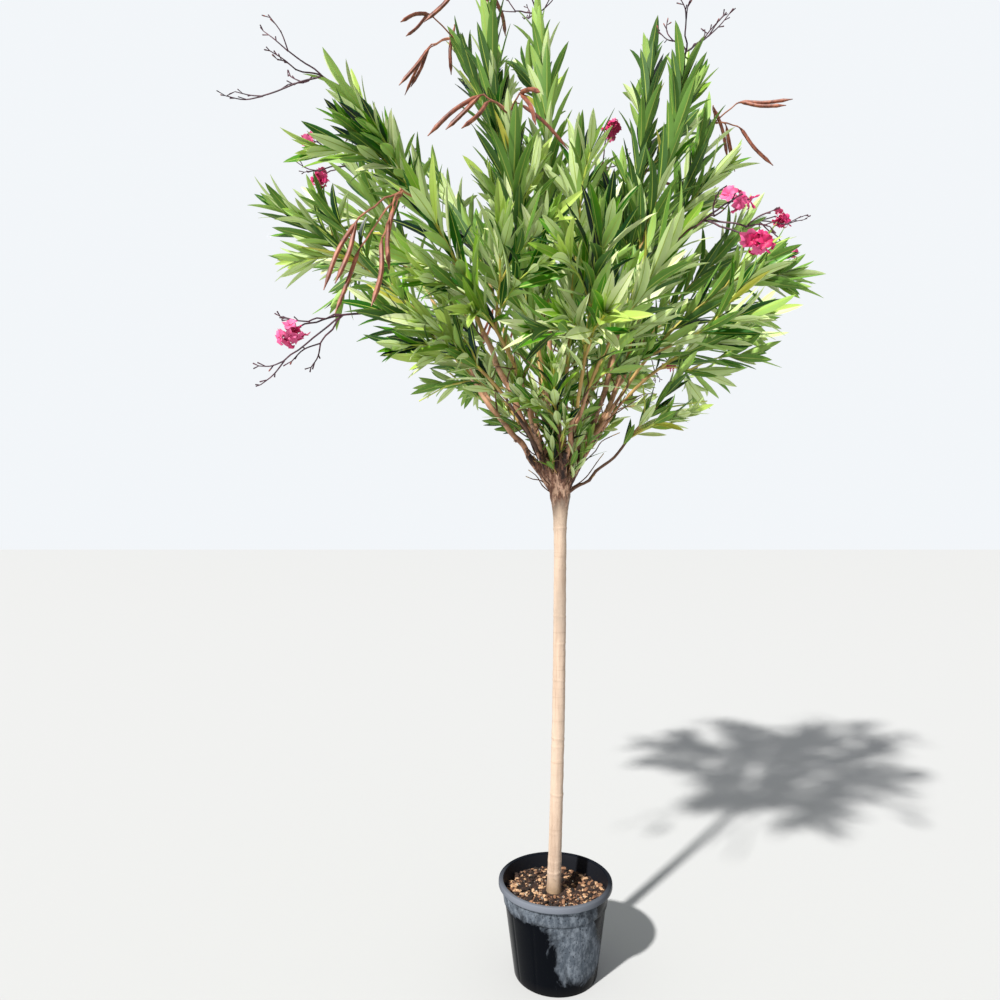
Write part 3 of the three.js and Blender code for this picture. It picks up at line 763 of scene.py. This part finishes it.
def buildShoots(spurs):
    bundle = Bundle()
    for mass in masses:
        for shoot in mass["shoots"]:
            line = shoot["line"]
            if shoot is mass["shoots"][0] and not mass["bough"]:
                share = shoot["first"] / line.length
                start = kinked(line.stretch(0, share), 30, 5, 990 + mass["index"])
                line = Line([*start.knots, *line.stretch(share, 1).knots[1:]])
            rings = max(6, round(line.length / (24 if shoot.get("fine") else 16)))
            kind, bands = shootKinds["fine" if shoot.get("fine") else "onBough" if mass["bough"] else "onHead"]
            radiusAt = shootBark(line, shoot["first"], shoot["root"], shoot["tip"])
            addTube(bundle, line, radiusAt, 6, rings, kind, bands)
    for spur in spurs:
        kind, bands = shootKinds["bareSpur" if spur["bare"] else "spur"]
        radiusAt = shootBark(spur["line"], 0, spurRule["root"], spurRule["tip"])
        addTube(bundle, spur["line"], radiusAt, 6, max(8, round(spur["line"].length / 12)), kind, bands)
    finishes = [plain("twigBrown", (104, 72, 54), 0.7), plain("twigTan", (184, 148, 88), 0.65),
                plain("twigOlive", (202, 188, 88), 0.6), plain("twigGreen", (190, 202, 92), 0.55)]
    bundle.make("shoots_and_twigs", finishes, "bough_bark")


spurs = planSpurs()
buildShoots(spurs)

# leaves

# limbs whose leaves are smaller and fewer, by share
sparse = {"right_twig": 0.66, "front_low": 0.6, "lowest_left": 0.72, "top_left": 0.9}
# limbs with more or fewer leaves in the washed green, which is painted sun glare, than usual, by share of all;
# the limbs in the middle of the crown have more, as painted light in their shade
sunGlareShare = {"top_left": 0.05, "top_middle": 0.08, "top_front": 0.08, "right_high": 0.1, "top_right": 0.08,
            "left_high": 0.15, "front": 0.36, "front_right": 0.36, "inner_front": 0.36, "front_low": 0.4,
            "right_middle": 0.34, "right_low": 0.34}
deeper = {"top_left": 2, "top_middle": 1, "top_front": 1, "top_right": 1, "right_high": 1}  # by how many tones

leaf = {"length": 164, "width": 27, "thickness": 0.9, "spacing": 38, "spread": (42, 16), "tipSpread": 12,
        "rows": (0, 0.06, 0.2, 0.38, 0.57, 0.76, 0.91, 1),
        "outline": (0.1, 0.17, 0.62, 0.94, 1.0, 0.76, 0.38, 0),
        "midrib": 0.05, "forms": 12, "yellow": 0.005, "washed": 0.27}
greens = {
    # the darkest teal is painted shade
    "leafShadeTeal": (4, 32, 24),
    "leafDeepGreen": (10, 50, 12),
    "leafGreen": (30, 88, 8),
    "leafMidGreen": (72, 132, 14),
    "leafLightGreen": (126, 168, 50),
    "leafYoungGreen": (174, 200, 96),
    # painted sun glare on glossy upper faces
    "leafSunGlareGreen": (216, 228, 170),
    "leafYellowing": (192, 190, 76),
}
undersides = {
    "undersideDeep": (66, 104, 42),
    "undersideGreen": (98, 140, 54),
    "undersideLight": (152, 188, 94),
    "undersidePale": (200, 222, 152),
}


def leafForm(arch, fold, sickle, twist):
    # one leaf a unit long, drawn along +Y, its upper face towards +Z; its faces are numbered 0 on the blade,
    # 1 on the midrib, and 2 and 3 for the same on the underside
    rows, half = len(leaf["rows"]) - 1, leaf["width"] / leaf["length"] / 2
    bm = bmesh.new()
    ops.create_grid(bm, x_segments=3, y_segments=rows, size=0.5)
    for f in bm.faces:
        f.material_index = int(abs(f.calc_center_median().x) < 0.2)
    copied = ops.duplicate(bm, geom=bm.verts[:] + bm.edges[:] + bm.faces[:])["geom"]
    underFaces = [g for g in copied if isinstance(g, bmesh.types.BMFace)]
    underVerts = {g for g in copied if isinstance(g, bmesh.types.BMVert)}
    ops.reverse_faces(bm, faces=underFaces)
    for f in underFaces:
        f.material_index += 2
    for v in bm.verts:
        row = round((v.co.y + 0.5) * rows)
        share, y, atEdge = leaf["outline"][row], leaf["rows"][row], abs(v.co.x) > 0.3
        rib = min(half * share * 0.5, half * leaf["midrib"] * (1.3 - y) * 2)
        x = copysign(half * share if atEdge else rib, v.co.x)
        z = fold * abs(x) - arch * y**2 + 0.25 * arch * y
        if v in underVerts and not atEdge:
            z -= leaf["thickness"] / leaf["length"]
        turn = twist * y
        x += sickle * y**2
        v.co = (x * cos(turn), y * (1 - 0.15 * abs(arch)), z + x * sin(turn))
    ops.remove_doubles(bm, verts=bm.verts, dist=1e-5)
    return asArrays(bm)


def leafForms():
    draw = seeded(77)
    return [leafForm(draw(-0.16, 0.3), draw(0.1, 0.5), draw(-0.08, 0.08),
                     draw(-0.6, 0.6)) for _ in range(leaf["forms"])]


forms = leafForms()


def addLeaf(bundle, root, way, stem, length, width, shade, draw):
    facing = unit(stem - way * np.dot(stem, way))
    facing, side = rolled(facing, np.cross(way, facing), 0.5 * (draw() - 0.5))
    shape = forms[int(draw() * leaf["forms"])]
    p = shape[0] * length
    p[:, 0] *= width / leaf["width"] * leaf["length"] / length
    places = root + p[:, :1] * side + p[:, 1:2] * way + p[:, 2:] * facing
    under = len(greens) + 1 + min(3, (shade + 1) // 2)  # an underside is paler than its upper face
    kinds = np.choose(shape[3], (shade, len(greens), under, len(greens)))
    if shade == len(greens) - 1:
        kinds = np.full(len(kinds), shade)
    bundle.add(shape, inFrame(places), kinds)


def shadeOf(base, draw, washed):
    # mostly near the shoot's own green, with a few yellowing leaves and a few in the washed green, which is
    # painted sun glare
    odd = draw()
    if odd < leaf["yellow"]:
        return len(greens) - 1
    if odd < leaf["yellow"] + washed:
        return len(greens) - 2
    return min(len(greens) - 3, max(0, base + int(draw() * 5) - 2))


def addWhorls(bundle, shoot, draw, leafyEnd):
    line, first = shoot["line"], shoot["first"]
    base = 1 + int(draw() * 4)
    scale = shoot.get("leafSize", 0.88 if shoot.get("fine") else 1)
    whorls = max(1, round((line.length - first) / (leaf["spacing"] * mix(0.5, 1, scale))))
    for w in range(whorls + 1):
        at = 0.985 * mix(min(first, 0.5 * line.length) / line.length, 1, w / whorls)
        root, stem = line.at(at), line.way(at)
        clock = (w % 2) * fullTurn / 6 + 0.5 * draw()
        toTip = whorls - w
        for k in range(3):
            if w < 2 and draw() < 0.45:
                continue
            spread = shoot.get("slim", 1) * radians(mix(*leaf["spread"], at) + 16 * (draw() - 0.5))
            size = draw(0.82, 1.18) * scale * (1 if toTip > 1 else 0.82) * mix(0.85, 1, min(1, w / 3))
            way = aside(stem, spread, clock + k / 3 * fullTurn)
            way = unit(way - up * 0.1 * draw())
            shade = shadeOf(base + (1 if toTip < 2 else 0) - shoot.get("deeper", 0), draw,
                            shoot.get("washed", leaf["washed"]))
            addLeaf(bundle, root + way * 2, way, stem, leaf["length"] * size,
                    leaf["width"] * draw(0.85, 1.15) * size**0.6, shade, draw)
    if leafyEnd:
        stem = line.way(1)
        for k in range(5):
            way = aside(stem, radians(leaf["tipSpread"] * draw(0.4, 1.3)), k * 2.4)
            size = scale * draw(0.42, 0.72)
            addLeaf(bundle, line.at(0.995), way, stem, leaf["length"] * size, leaf["width"] * size,
                    min(5, max(0, base + 2 - shoot.get("deeper", 0))), draw)


leafGroups = {
    "left": ("left_high", "far_left", "left_low", "lowest_left", "left_flower", "front_left", "back_left"),
    "top": ("top_middle", "top_left", "top_front", "upper_front", "back_left_high", "centre_back",
            "inner_back"),
    "right": ("right_high", "right", "right_middle", "right_twig", "top_right", "far_right", "right_low"),
    "middle": ("front", "back", "back_right", "front_low", "front_right", "back_right_high", "inner_front"),
}


def buildLeaves():
    glow = {"Specular_IOR_Level": 0.34, "Subsurface_Weight": 0.15, "Subsurface_Radius": (0.7, 1.0, 0.25),
            "Subsurface_Scale": 0.002}
    finishes = [plain(name, colour, 0.38, **glow) for name, colour in greens.items()]
    finishes.append(plain("leafMidrib", (160, 180, 74), 0.5))
    finishes += [plain(name, colour, 0.6, **glow) for name, colour in undersides.items()]
    for group, names in leafGroups.items():
        bundle = Bundle()
        for own, mass in enumerate(masses):
            if mass["name"] not in names:
                continue
            draw = seeded(400 + own)
            size = sparse.get(mass["name"], 1)
            for k, shoot in enumerate(mass["shoots"]):
                if size == 1 or k < 3:
                    grown = {**shoot, "leafSize": size * (0.88 if shoot.get("fine") else 1),
                             "slim": slim.get(mass["name"], 1), "deeper": deeper.get(mass["name"], 0),
                             "washed": sunGlareShare.get(mass["name"], leaf["washed"])}
                    addWhorls(bundle, grown, draw, k > 0 or not mass["end"])
        if group == "middle":
            draw = seeded(399)
            for spur in spurs:
                if not spur["bare"]:
                    addWhorls(bundle, spur, draw, True)
        bundle.make("leaves_" + group, finishes, "foliage", ["foliage_" + n for n in names])


buildLeaves()

# flower stalks with pods and blossom

pod = {"length": 160, "radius": 4.8, "sides": 9, "rings": 18, "furthest": 842, "droop": (0.5, 1.7)}
hanging = {"front_left": 64, "top_left": 24, "upper_front": 20}  # how much further some stalks hang down
bloom = {"radius": 18.5, "sizes": (0.75, 1.08), "count": 9, "few": 5, "pitch": 15, "length": 46, "buds": 6,
         "bud": (12, 20), "single": ("left_low",)}
spray = {"forks": 2, "spread": (0.12, 0.42), "reach": (48, 92), "rise": (-0.25, 0.05), "knob": (10, 24),
         "knobs": (0.45, 0.75, 1, 1), "budShare": 0.22, "bud": (9, 14)}


def petalRing(seed):
    # five crumpled petals round a short tube, a unit across from the middle to a petal's tip
    bm = bmesh.new()
    ops.create_grid(bm, x_segments=2, y_segments=3, size=0.5)
    widths, lifts = (0.1, 0.36, 0.46, 0.24), (0, 0.26, 0.3, 0.14)
    for v in bm.verts:
        row = round((v.co.y + 0.5) * 3)
        cup = 0.16 * abs(v.co.x) * 2
        v.co = (v.co.x * 2 * widths[row] + 0.16 * row / 3, 0.06 + 0.94 * row / 3, lifts[row] + cup)
    ops.solidify(bm, geom=bm.faces[:], thickness=0.035)
    ops.spin(bm, geom=bm.verts[:] + bm.edges[:] + bm.faces[:], angle=fullTurn * 4 / 5, steps=4,
                   axis=(0, 0, 1), cent=(0, 0, 0), use_duplicate=True)
    for v in bm.verts:
        v.co.z += 0.5 * noise(v.co * 1.6 + Vector((seed, 0, 0))) * v.co.xy.length
        v.co.x += 0.3 * noise(v.co * 2.1 + Vector((0, seed, 0))) * v.co.xy.length
    throat = ops.create_cone(bm, cap_ends=True, segments=5, radius1=0.07, radius2=0.14, depth=0.7)["verts"]
    ops.translate(bm, vec=(0, 0, -0.3), verts=throat)
    ops.recalc_face_normals(bm, faces=bm.faces)
    for f in bm.faces:
        f.material_index = 3 if f.calc_center_median().xy.length < 0.12 else 0
    return asArrays(bm)


def budShape():
    bm = ringedBar(2, segments=6, radius1=0.1, radius2=0.06)
    for v in bm.verts:
        swell = 1 + 1.2 * max(0, 1 - abs(v.co.z - 0.2) * 3)
        v.co.x, v.co.y, v.co.z = v.co.x * swell, v.co.y * swell, v.co.z + 0.5
    for f in bm.faces:
        f.material_index = 1
    return asArrays(bm)


def turned(shape, middle, way, size, turn):
    u = unit(np.cross(way, sideways + 0.01 * up))
    u, v = rolled(u, np.cross(way, u), turn)
    p = shape[0] * size
    return middle + p[:, :1] * u + p[:, 1:2] * v + p[:, 2:] * way


def addPod(pods, end, off, length, draw):
    # a slender pod, nearly straight, that spreads or hangs from the end of its stalk
    down = unit(off - up * draw(*pod["droop"]))
    root = end - off * 5
    start = root + off * 8
    past = (start + down * length)[1] - pod["furthest"]
    if past > 0:  # none reaches further back than the crown
        length -= past / down[1]
    bow = aside(down, 1.5, fullTurn * draw()) * length * 0.05
    line = Line([root, start + down * 12, start + down * 0.5 * length + bow, start + down * length])
    shape = unitTube(pod["sides"], pod["rings"])
    radius = pod["radius"] * draw(0.85, 1.15)

    def radiusAt(t):
        body = min(1, 0.4 + (t - 0.08) * 7) if t > 0.08 else 0.34
        return radius * max(0.2, min(body, (1.01 - t) * 6)) * (1 + 0.04 * sin(40 * t))

    places, shares = bent(shape, line, radiusAt, pod["rings"])
    groove = (shape[0][:, 0] > 0.97) & (shares > 0.12) & (shares < 0.95)
    centre = line.at(shares)
    places[groove] = centre[groove] + (places[groove] - centre[groove]) * 0.55
    pods.add(shape, inFrame(places))


def addCluster(flowers, stalks, end, off, draw, count):
    # blooms crowded along a short drooping end, with buds among them
    hang = unit(off - up * 0.9)
    core = Line([end - off * 4, end + hang * 8, end + hang * bloom["length"]])
    addTube(stalks, core, lambda t: mix(1.6, 1, t), 5, 4)
    for k in range(count):
        stem = end + hang * bloom["length"] * k / bloom["count"]
        way = aside(hang, draw(0.5, 1.5), fullTurn * (0.38 * k + 0.2 * draw()))
        middle = stem + way * bloom["pitch"] * draw(0.6, 1.2)
        addTube(stalks, Line([stem, mix(stem, middle, 0.5), middle - way * 5]), lambda t: 1.1, 4, 2)
        shape = petalShapes[k % len(petalShapes)]
        kinds = np.where(shape[3] == 0, int(3 * draw()), shape[3])
        radius = bloom["radius"] * draw(*bloom["sizes"])
        flowers.add(shape, inFrame(turned(shape, middle, way, radius, fullTurn * draw())), kinds)
    for k in range(bloom["buds"]):
        way = aside(hang, draw(0.3, 1.3), fullTurn * draw())
        root = end + hang * bloom["length"] * draw() + way * draw(2, 10)
        flowers.add(bud, inFrame(turned(bud, root, way, draw(*bloom["bud"]), 0)))


def addSpray(stalks, flowers, end, off, draw):
    # a dry stalk that forks in long curves, with what is left of its blooms
    for k in range(spray["forks"]):
        way = aside(off, draw(*spray["spread"]), fullTurn * (k / spray["forks"] + 0.2 * draw()))
        reach = draw(*spray["reach"])
        tip = end + way * reach + up * reach * draw(*spray["rise"])
        middle = mix(end, tip, 0.5) + aside(way, 1.5, fullTurn * draw()) * reach * 0.1
        twiglet = Line([end - off * 3, middle, tip])
        addTube(stalks, twiglet, lambda t: mix(1.9, 1.3, t), 5, 8)
        for at in spray["knobs"]:
            knob = aside(twiglet.way(at), draw(0.3, 0.8), fullTurn * draw())
            root = twiglet.at(at)
            short = Line([root, root + knob * 7, root + knob * draw(*spray["knob"])])
            addTube(stalks, short, lambda t: mix(1.1, 1.8, t), 4, 2)
            if draw() < spray["budShare"]:
                flowers.add(bud, inFrame(turned(bud, root + knob * 8, knob, draw(*spray["bud"]), 0)),
                            np.full(len(bud[2]), 4))


def solidDraws(mass, own):
    # the stream of the solids, moved on past what their leaves drew
    draw = seeded(200 + own)
    for shoot in mass["shoots"]:
        if shoot.get("fine"):
            continue
        whorls = max(1, round((shoot["line"].length - shoot["first"]) / leafRule["spacing"]))
        for _ in range(7 * (whorls + 1)):
            draw()
    return draw


def buildStalks():
    stalks, pods, flowers = Bundle(), Bundle(), Bundle()
    for own, mass in enumerate(masses):
        if not mass["end"]:
            continue
        draw, finer = solidDraws(mass, own), seeded(500 + own)
        kind = 1 if mass["end"] == "pods" else 0
        drawn = mass["shoots"][0]["drawn"]
        stemShare = mass["shoots"][0]["line"].length / drawn.length
        stalk = kinked(drawn.stretch(stemShare * 0.99, 1), 24, 1.6, own)
        addTube(stalks, stalk, lambda t: mix(3.0, 2.6, t), 6, 10, kind)
        way = drawn.way(1)
        fork = drawn.at(1) - way * 8
        clock = fullTurn * draw()
        ends = []
        for k in range(stalkRule["branches"]):
            off = aside(way, radians(stalkRule["spread"]), clock + k / stalkRule["branches"] * fullTurn)
            ends.append((off, sagging(fork, off, stalkRule["branch"] * draw(0.8, 1.2))))
            if mass["end"] == "blossom":  # the solids' blooms draw two numbers each
                for _ in range(4):
                    draw()
        for k in range(2):
            off = aside(way, radians(stalkRule["spread"] * 1.3), clock + (k + 0.5) / 2 * fullTurn)
            ends.append((off, sagging(fork, off, stalkRule["branch"] * finer(0.5, 0.85))))
        for k, (off, end) in enumerate(ends):
            end = end - up * hanging.get(mass["name"], 0)
            branch = kinked(Line([fork, mix(fork, end, 0.45) + off * 6, end]), 26, 3, 40 * own + k)
            addTube(stalks, branch, lambda t: mix(2.4, 1.9, t), 5, 8, kind)
            if mass["end"] == "pods":
                off = branch.way(1)
                for _ in range(2 if k < 2 else 1):
                    addPod(pods, end, off, pod["length"] * finer(0.8, 1.08), finer)
            elif mass["end"] == "blossom" and k < (1 if mass["name"] in bloom["single"] else 2):
                addCluster(flowers, stalks, end, off, finer, bloom["few" if k else "count"])
            else:
                addSpray(stalks, flowers, end, off, finer)
    purple = stalkSkin("purpleStalkSkin", (44, 24, 40), (96, 52, 66))
    brown = stalkSkin("brownStalkSkin", (120, 70, 54), (182, 120, 90))
    stalks.make("flower_stalks", [purple, brown], "bough_bark")
    pods.make("seed_pods", [podSkin()], "bough_bark", sharp=50)
    finishes = [plain("petalDeepPink", (196, 22, 92), 0.55), plain("petalPink", (216, 52, 118), 0.55),
                plain("petalPalePink", (226, 92, 146), 0.55), plain("petalThroat", (236, 136, 170), 0.55),
                plain("fadedBloom", (150, 76, 66), 0.7)]
    flowers.make("blossom", finishes, "foliage")


petalShapes, bud = [petalRing(k * 3.7) for k in range(4)], budShape()
buildStalks()

# pot

potShape = {"height": 256, "rim": 160, "foot": 116, "wall": 3, "lipWidth": 7, "lipHeight": 16, "collar": 43,
            "step": 3, "panels": 12, "groove": 1.2, "grooveWidth": 0.0032, "steps": 240, "drains": 8,
            "drain": 8, "outOfRound": 0.0022}


def wallRadius(z):
    widest = potShape["rim"] - potShape["lipWidth"] - potShape["step"]
    return mix(potShape["foot"], widest, z / potShape["height"])


def potProfile():
    # radius and height, from the middle of the base up the outside, over the lip and down the inside
    top, rim, step, wall = (potShape[key] for key in ("height", "rim", "step", "wall"))
    lip = top - potShape["lipHeight"]
    collar = lip - potShape["collar"]
    foot, atCollar, atLip, atTop = (wallRadius(z) for z in (0, collar, lip, top))
    return [
        (0, 0.6), (foot - 9, 0.6), (foot - 7, 0), (foot - 2.5, 0), (foot - 0.6, 0.9),
        *[(wallRadius(z), z) for z in (3, 12, 40, 80, 120, 155, 180, 190)],
        (atCollar - 1.5, collar - 2.2), (atCollar - 1.2, collar - 0.4), (atCollar + step - 0.6, collar - 0.1),
        (atCollar + step, collar + 0.8), *[(wallRadius(z) + step, z) for z in (215, 230)],
        (atLip + step - 0.2, lip - 3.2), (atLip + step - 2, lip - 0.6), (atLip + step + 0.6, lip + 0.5),
        (rim - 2, lip), (rim - 0.6, lip + 0.6), (rim, lip + 2.2), (rim, top - 5.5), (rim - 0.7, top - 2.4),
        (rim - 2.6, top - 0.5), (rim - 5, top), (atTop - wall + 2.2, top - 0.1), (atTop - wall + 0.6, top - 1),
        (atTop - wall, top - 3), *[(wallRadius(z) - wall, z) for z in (235, 200, 150, 80, 8)],
        (wallRadius(3) - wall - 4, wall), (0, wall),
    ]


def spun(profile, steps):
    # a profile in millimetres turned round the upright axis
    bm = bmesh.new()
    points = [bm.verts.new((r * mm, 0, z * mm)) for r, z in profile]
    edges = [bm.edges.new(pair) for pair in zip(points, points[1:])]
    ops.spin(bm, geom=points + edges, angle=fullTurn, steps=steps, axis=(0, 0, 1), cent=(0, 0, 0),
                   use_merge=True)
    ops.remove_doubles(bm, verts=bm.verts, dist=1e-6)
    ops.recalc_face_normals(bm, faces=bm.faces)
    return bm


def buildPot():
    bm = spun(potProfile(), potShape["steps"])
    collarBase = (potShape["height"] - potShape["lipHeight"] - potShape["collar"]) * mm
    for v in bm.verts:
        z, r = v.co.z, v.co.xy.length
        if 0.004 < z < collarBase - 0.002 and r > wallRadius(z / mm) * mm - 0.001:
            # the thin seams between the wall's panels
            turn = atan2(v.co.x, v.co.y) / fullTurn * potShape["panels"]
            off = abs(turn - round(turn)) / potShape["panels"] * fullTurn * r
            depth = potShape["groove"] * mm * exp(-((off / potShape["grooveWidth"]) ** 2))
            v.co.xy *= (r - depth) / r
        if r > 0.1:  # a nursery pot is never quite round
            turn = atan2(v.co.y, v.co.x)
            v.co.xy *= 1 + potShape["outOfRound"] * (sin(2 * turn + 0.6) - 1) * z / 0.256
    mesh = drained(toMesh(bm, "nursery_pot"))
    for f in mesh.polygons:
        inward = f.center.x * f.normal.x + f.center.y * f.normal.y < 0
        if inward and 0.004 < f.center.z < 0.25:
            f.material_index = 1
    finishes = [potPlastic(), plain("blackPotInside", (22, 24, 30), 0.5, Specular_IOR_Level=0.2)]
    addPiece(mesh, "nursery_pot", finishes, ["pot"], 32)


def drained(mesh):
    # the ring of drain holes through the floor
    bm, hole, out = bmesh.new(), potShape["drain"] * mm, 0.72 * potShape["foot"] * mm
    for k in range(potShape["drains"]):
        turn = k / potShape["drains"] * fullTurn
        peg = ops.create_cone(bm, cap_ends=True, segments=24, radius1=hole, radius2=hole, depth=0.02)
        ops.translate(bm, vec=(out * cos(turn), out * sin(turn), 0), verts=peg["verts"])
    cutter = placed("drain_cutters", toMesh(bm, "drain_cutters"))
    made = modified(mesh, "BOOLEAN", operation="DIFFERENCE", object=cutter, solver="EXACT")
    bpy.data.objects.remove(cutter)
    return made


buildPot()

# soil with its bark chips and stones

# the hollow is so far to the right and behind, so deep and so wide
soil = {"level": 220, "clear": 3.4, "floor": 3.3, "steps": 150, "rows": 44, "bump": 7, "lump": 9, "crumb": 2.6,
        "flat": 34, "hollow": (60, 60, 22, 46), "chips": 1500, "stones": 70}


def inHollow(x, y):
    right, behind, _, width = soil["hollow"]
    return exp(-((x - right) ** 2 + (y - behind) ** 2) / width**2)


def soilHeight(x, y):
    # millimetres over the pot's foot, at a place in millimetres
    loose = min(1, max(0, (hypot(x, y) - soil["flat"]) / 20))
    wave = soil["bump"] * 0.6 * sin(x / 19 + 1) * cos(y / 23)
    lump = noise(Vector((x / 14, y / 14, 0))) * soil["lump"]
    lump += noise(Vector((x / 5, y / 5, 3))) * soil["crumb"]
    return soil["level"] + (wave + lump - soil["hollow"][2] * inHollow(x, y)) * mix(0.25, 1, loose) - 0.5


def buildSoil():
    floor, level = soil["floor"], soil["level"]
    edge, foot = wallRadius(level) - soil["clear"], wallRadius(floor) - soil["clear"]
    profile = [(0, floor), (foot * 0.5, floor), (foot, floor), (mix(foot, edge, 0.5), mix(floor, level, 0.5))]
    profile += [(edge * (1 - k / soil["rows"]), level) for k in range(soil["rows"] + 1)]
    bm = spun(profile, soil["steps"])
    for v in bm.verts:
        if v.co.z > (level - 1) * mm:
            v.co.z = soilHeight(v.co.x / mm, v.co.y / mm) * mm
    addPiece(toMesh(bm, "potting_soil_top"), "potting_soil_body", [compost()], ["soil"], 70)


def chipShape(flatness):
    bm = bmesh.new()
    ops.create_cube(bm, size=1)
    ops.bevel(bm, geom=bm.edges[:], offset=0.22, segments=1, profile=0.5, affect="EDGES", material=-1)
    for v in bm.verts:
        places = (v.co * 2, v.co * 2 + Vector((5, 0, 0)), v.co * 3)
        v.co += Vector([noise(place) for place in places]) * 0.22
    ops.scale(bm, vec=(1, 0.55, flatness), verts=bm.verts)
    return asArrays(bm)


def scatter(name, shape, count, sizes, finishes, seed):
    bundle, draw = Bundle(), seeded(seed)
    edge = wallRadius(soil["level"]) - soil["clear"] - 6
    for _ in range(count):
        r, clock = edge * sqrt(draw(0.06, 1)), fullTurn * draw()
        size = mix(*sizes, draw() ** 2)
        x, y = r * cos(clock), r * sin(clock)
        tilt = aside(up, 0.9 * draw() ** 2, fullTurn * draw())
        # few pale chips lie in the hollow, which keeps it dark: painted shade
        if draw() < 0.9 * inHollow(x, y):
            continue
        middle = np.array([x, y, soilHeight(x, y) + size * 0.12])
        places = turned(shape, middle, tilt, size, fullTurn * draw()) * mm
        bundle.add(shape, places, np.full(len(shape[2]), int(draw() * len(finishes))))
    bundle.make(name, finishes, "potting_soil", sharp=45)


buildSoil()
barkTones = [mineral("barkChipTan", (158, 118, 84), (230, 190, 150)),
             mineral("barkChipBrown", (98, 66, 50), (170, 126, 94)),
             mineral("barkChipDark", (26, 18, 16), (66, 46, 36)),
             mineral("barkChipBlack", (14, 11, 10), (42, 31, 26))]
stoneTones = [mineral("palePumice", (168, 158, 142), (222, 214, 200)),
              mineral("greyGrit", (110, 104, 96), (164, 158, 150))]
scatter("bark_chips", chipShape(0.28), soil["chips"], (3, 17), barkTones, 601)
scatter("pumice_stones", chipShape(0.8), soil["stones"], (3.5, 9), stoneTones, 602)

# floor, light and camera

view = {"place": (-0.156, -2.01, 1.26), "pitch": 1.8, "lens": 25.2, "sensor": 36}
light = {
    "sky": {"colour": (0.94, 0.97, 1.0, 1), "strength": 0.4, "seen": 0.95},
    "sun": {"height": 43, "bearing": 232, "softness": 2.5, "strength": 5.45, "colour": (1.0, 0.98, 0.94)},
    "floor": {"size": 60, "colour": (198, 199, 200)},
}


def placeFloor(size, colour):
    bm = bmesh.new()
    ops.create_grid(bm, x_segments=4, y_segments=4, size=size / 2)
    mesh = toMesh(bm, "floor")
    mesh.materials.append(plain("paleFloor", colour, 0.95))
    placed("floor", mesh)


def placeSky(colour, strength, seen):
    # it lights softly, and looks paler than it lights
    sky = bpy.data.worlds.new("sky")
    sky.use_nodes = True
    tree = sky.node_tree
    back = tree.nodes["Background"]
    back.inputs["Color"].default_value = colour
    looked = addNode(tree, "LightPath").outputs["Is Camera Ray"]
    ranged = addNode(tree, "MapRange", {"Value": looked, "To Min": strength, "To Max": seen})
    tree.links.new(ranged.outputs["Result"], back.inputs["Strength"])
    bpy.context.scene.world = sky


def placeSun(height, bearing, softness, strength, colour):
    data = bpy.data.lights.new("sun", "SUN")
    data.angle, data.energy, data.color = radians(softness), strength, colour
    placed("sun", data).rotation_euler = (radians(90 - height), 0, radians(bearing + 90))


def placeCamera(place, pitch, lens, sensor):
    data = bpy.data.cameras.new("camera")
    data.lens, data.sensor_width = lens, sensor
    camera = placed("camera", data)
    camera.location, camera.rotation_euler = place, (radians(90 + pitch), 0, 0)
    bpy.context.scene.camera = camera


placeCamera(**view)
placeSky(**light["sky"])
placeSun(**light["sun"])
placeFloor(**light["floor"])
bpy.context.scene.view_settings.view_transform = "Standard"
print("camera, light and floor placed")
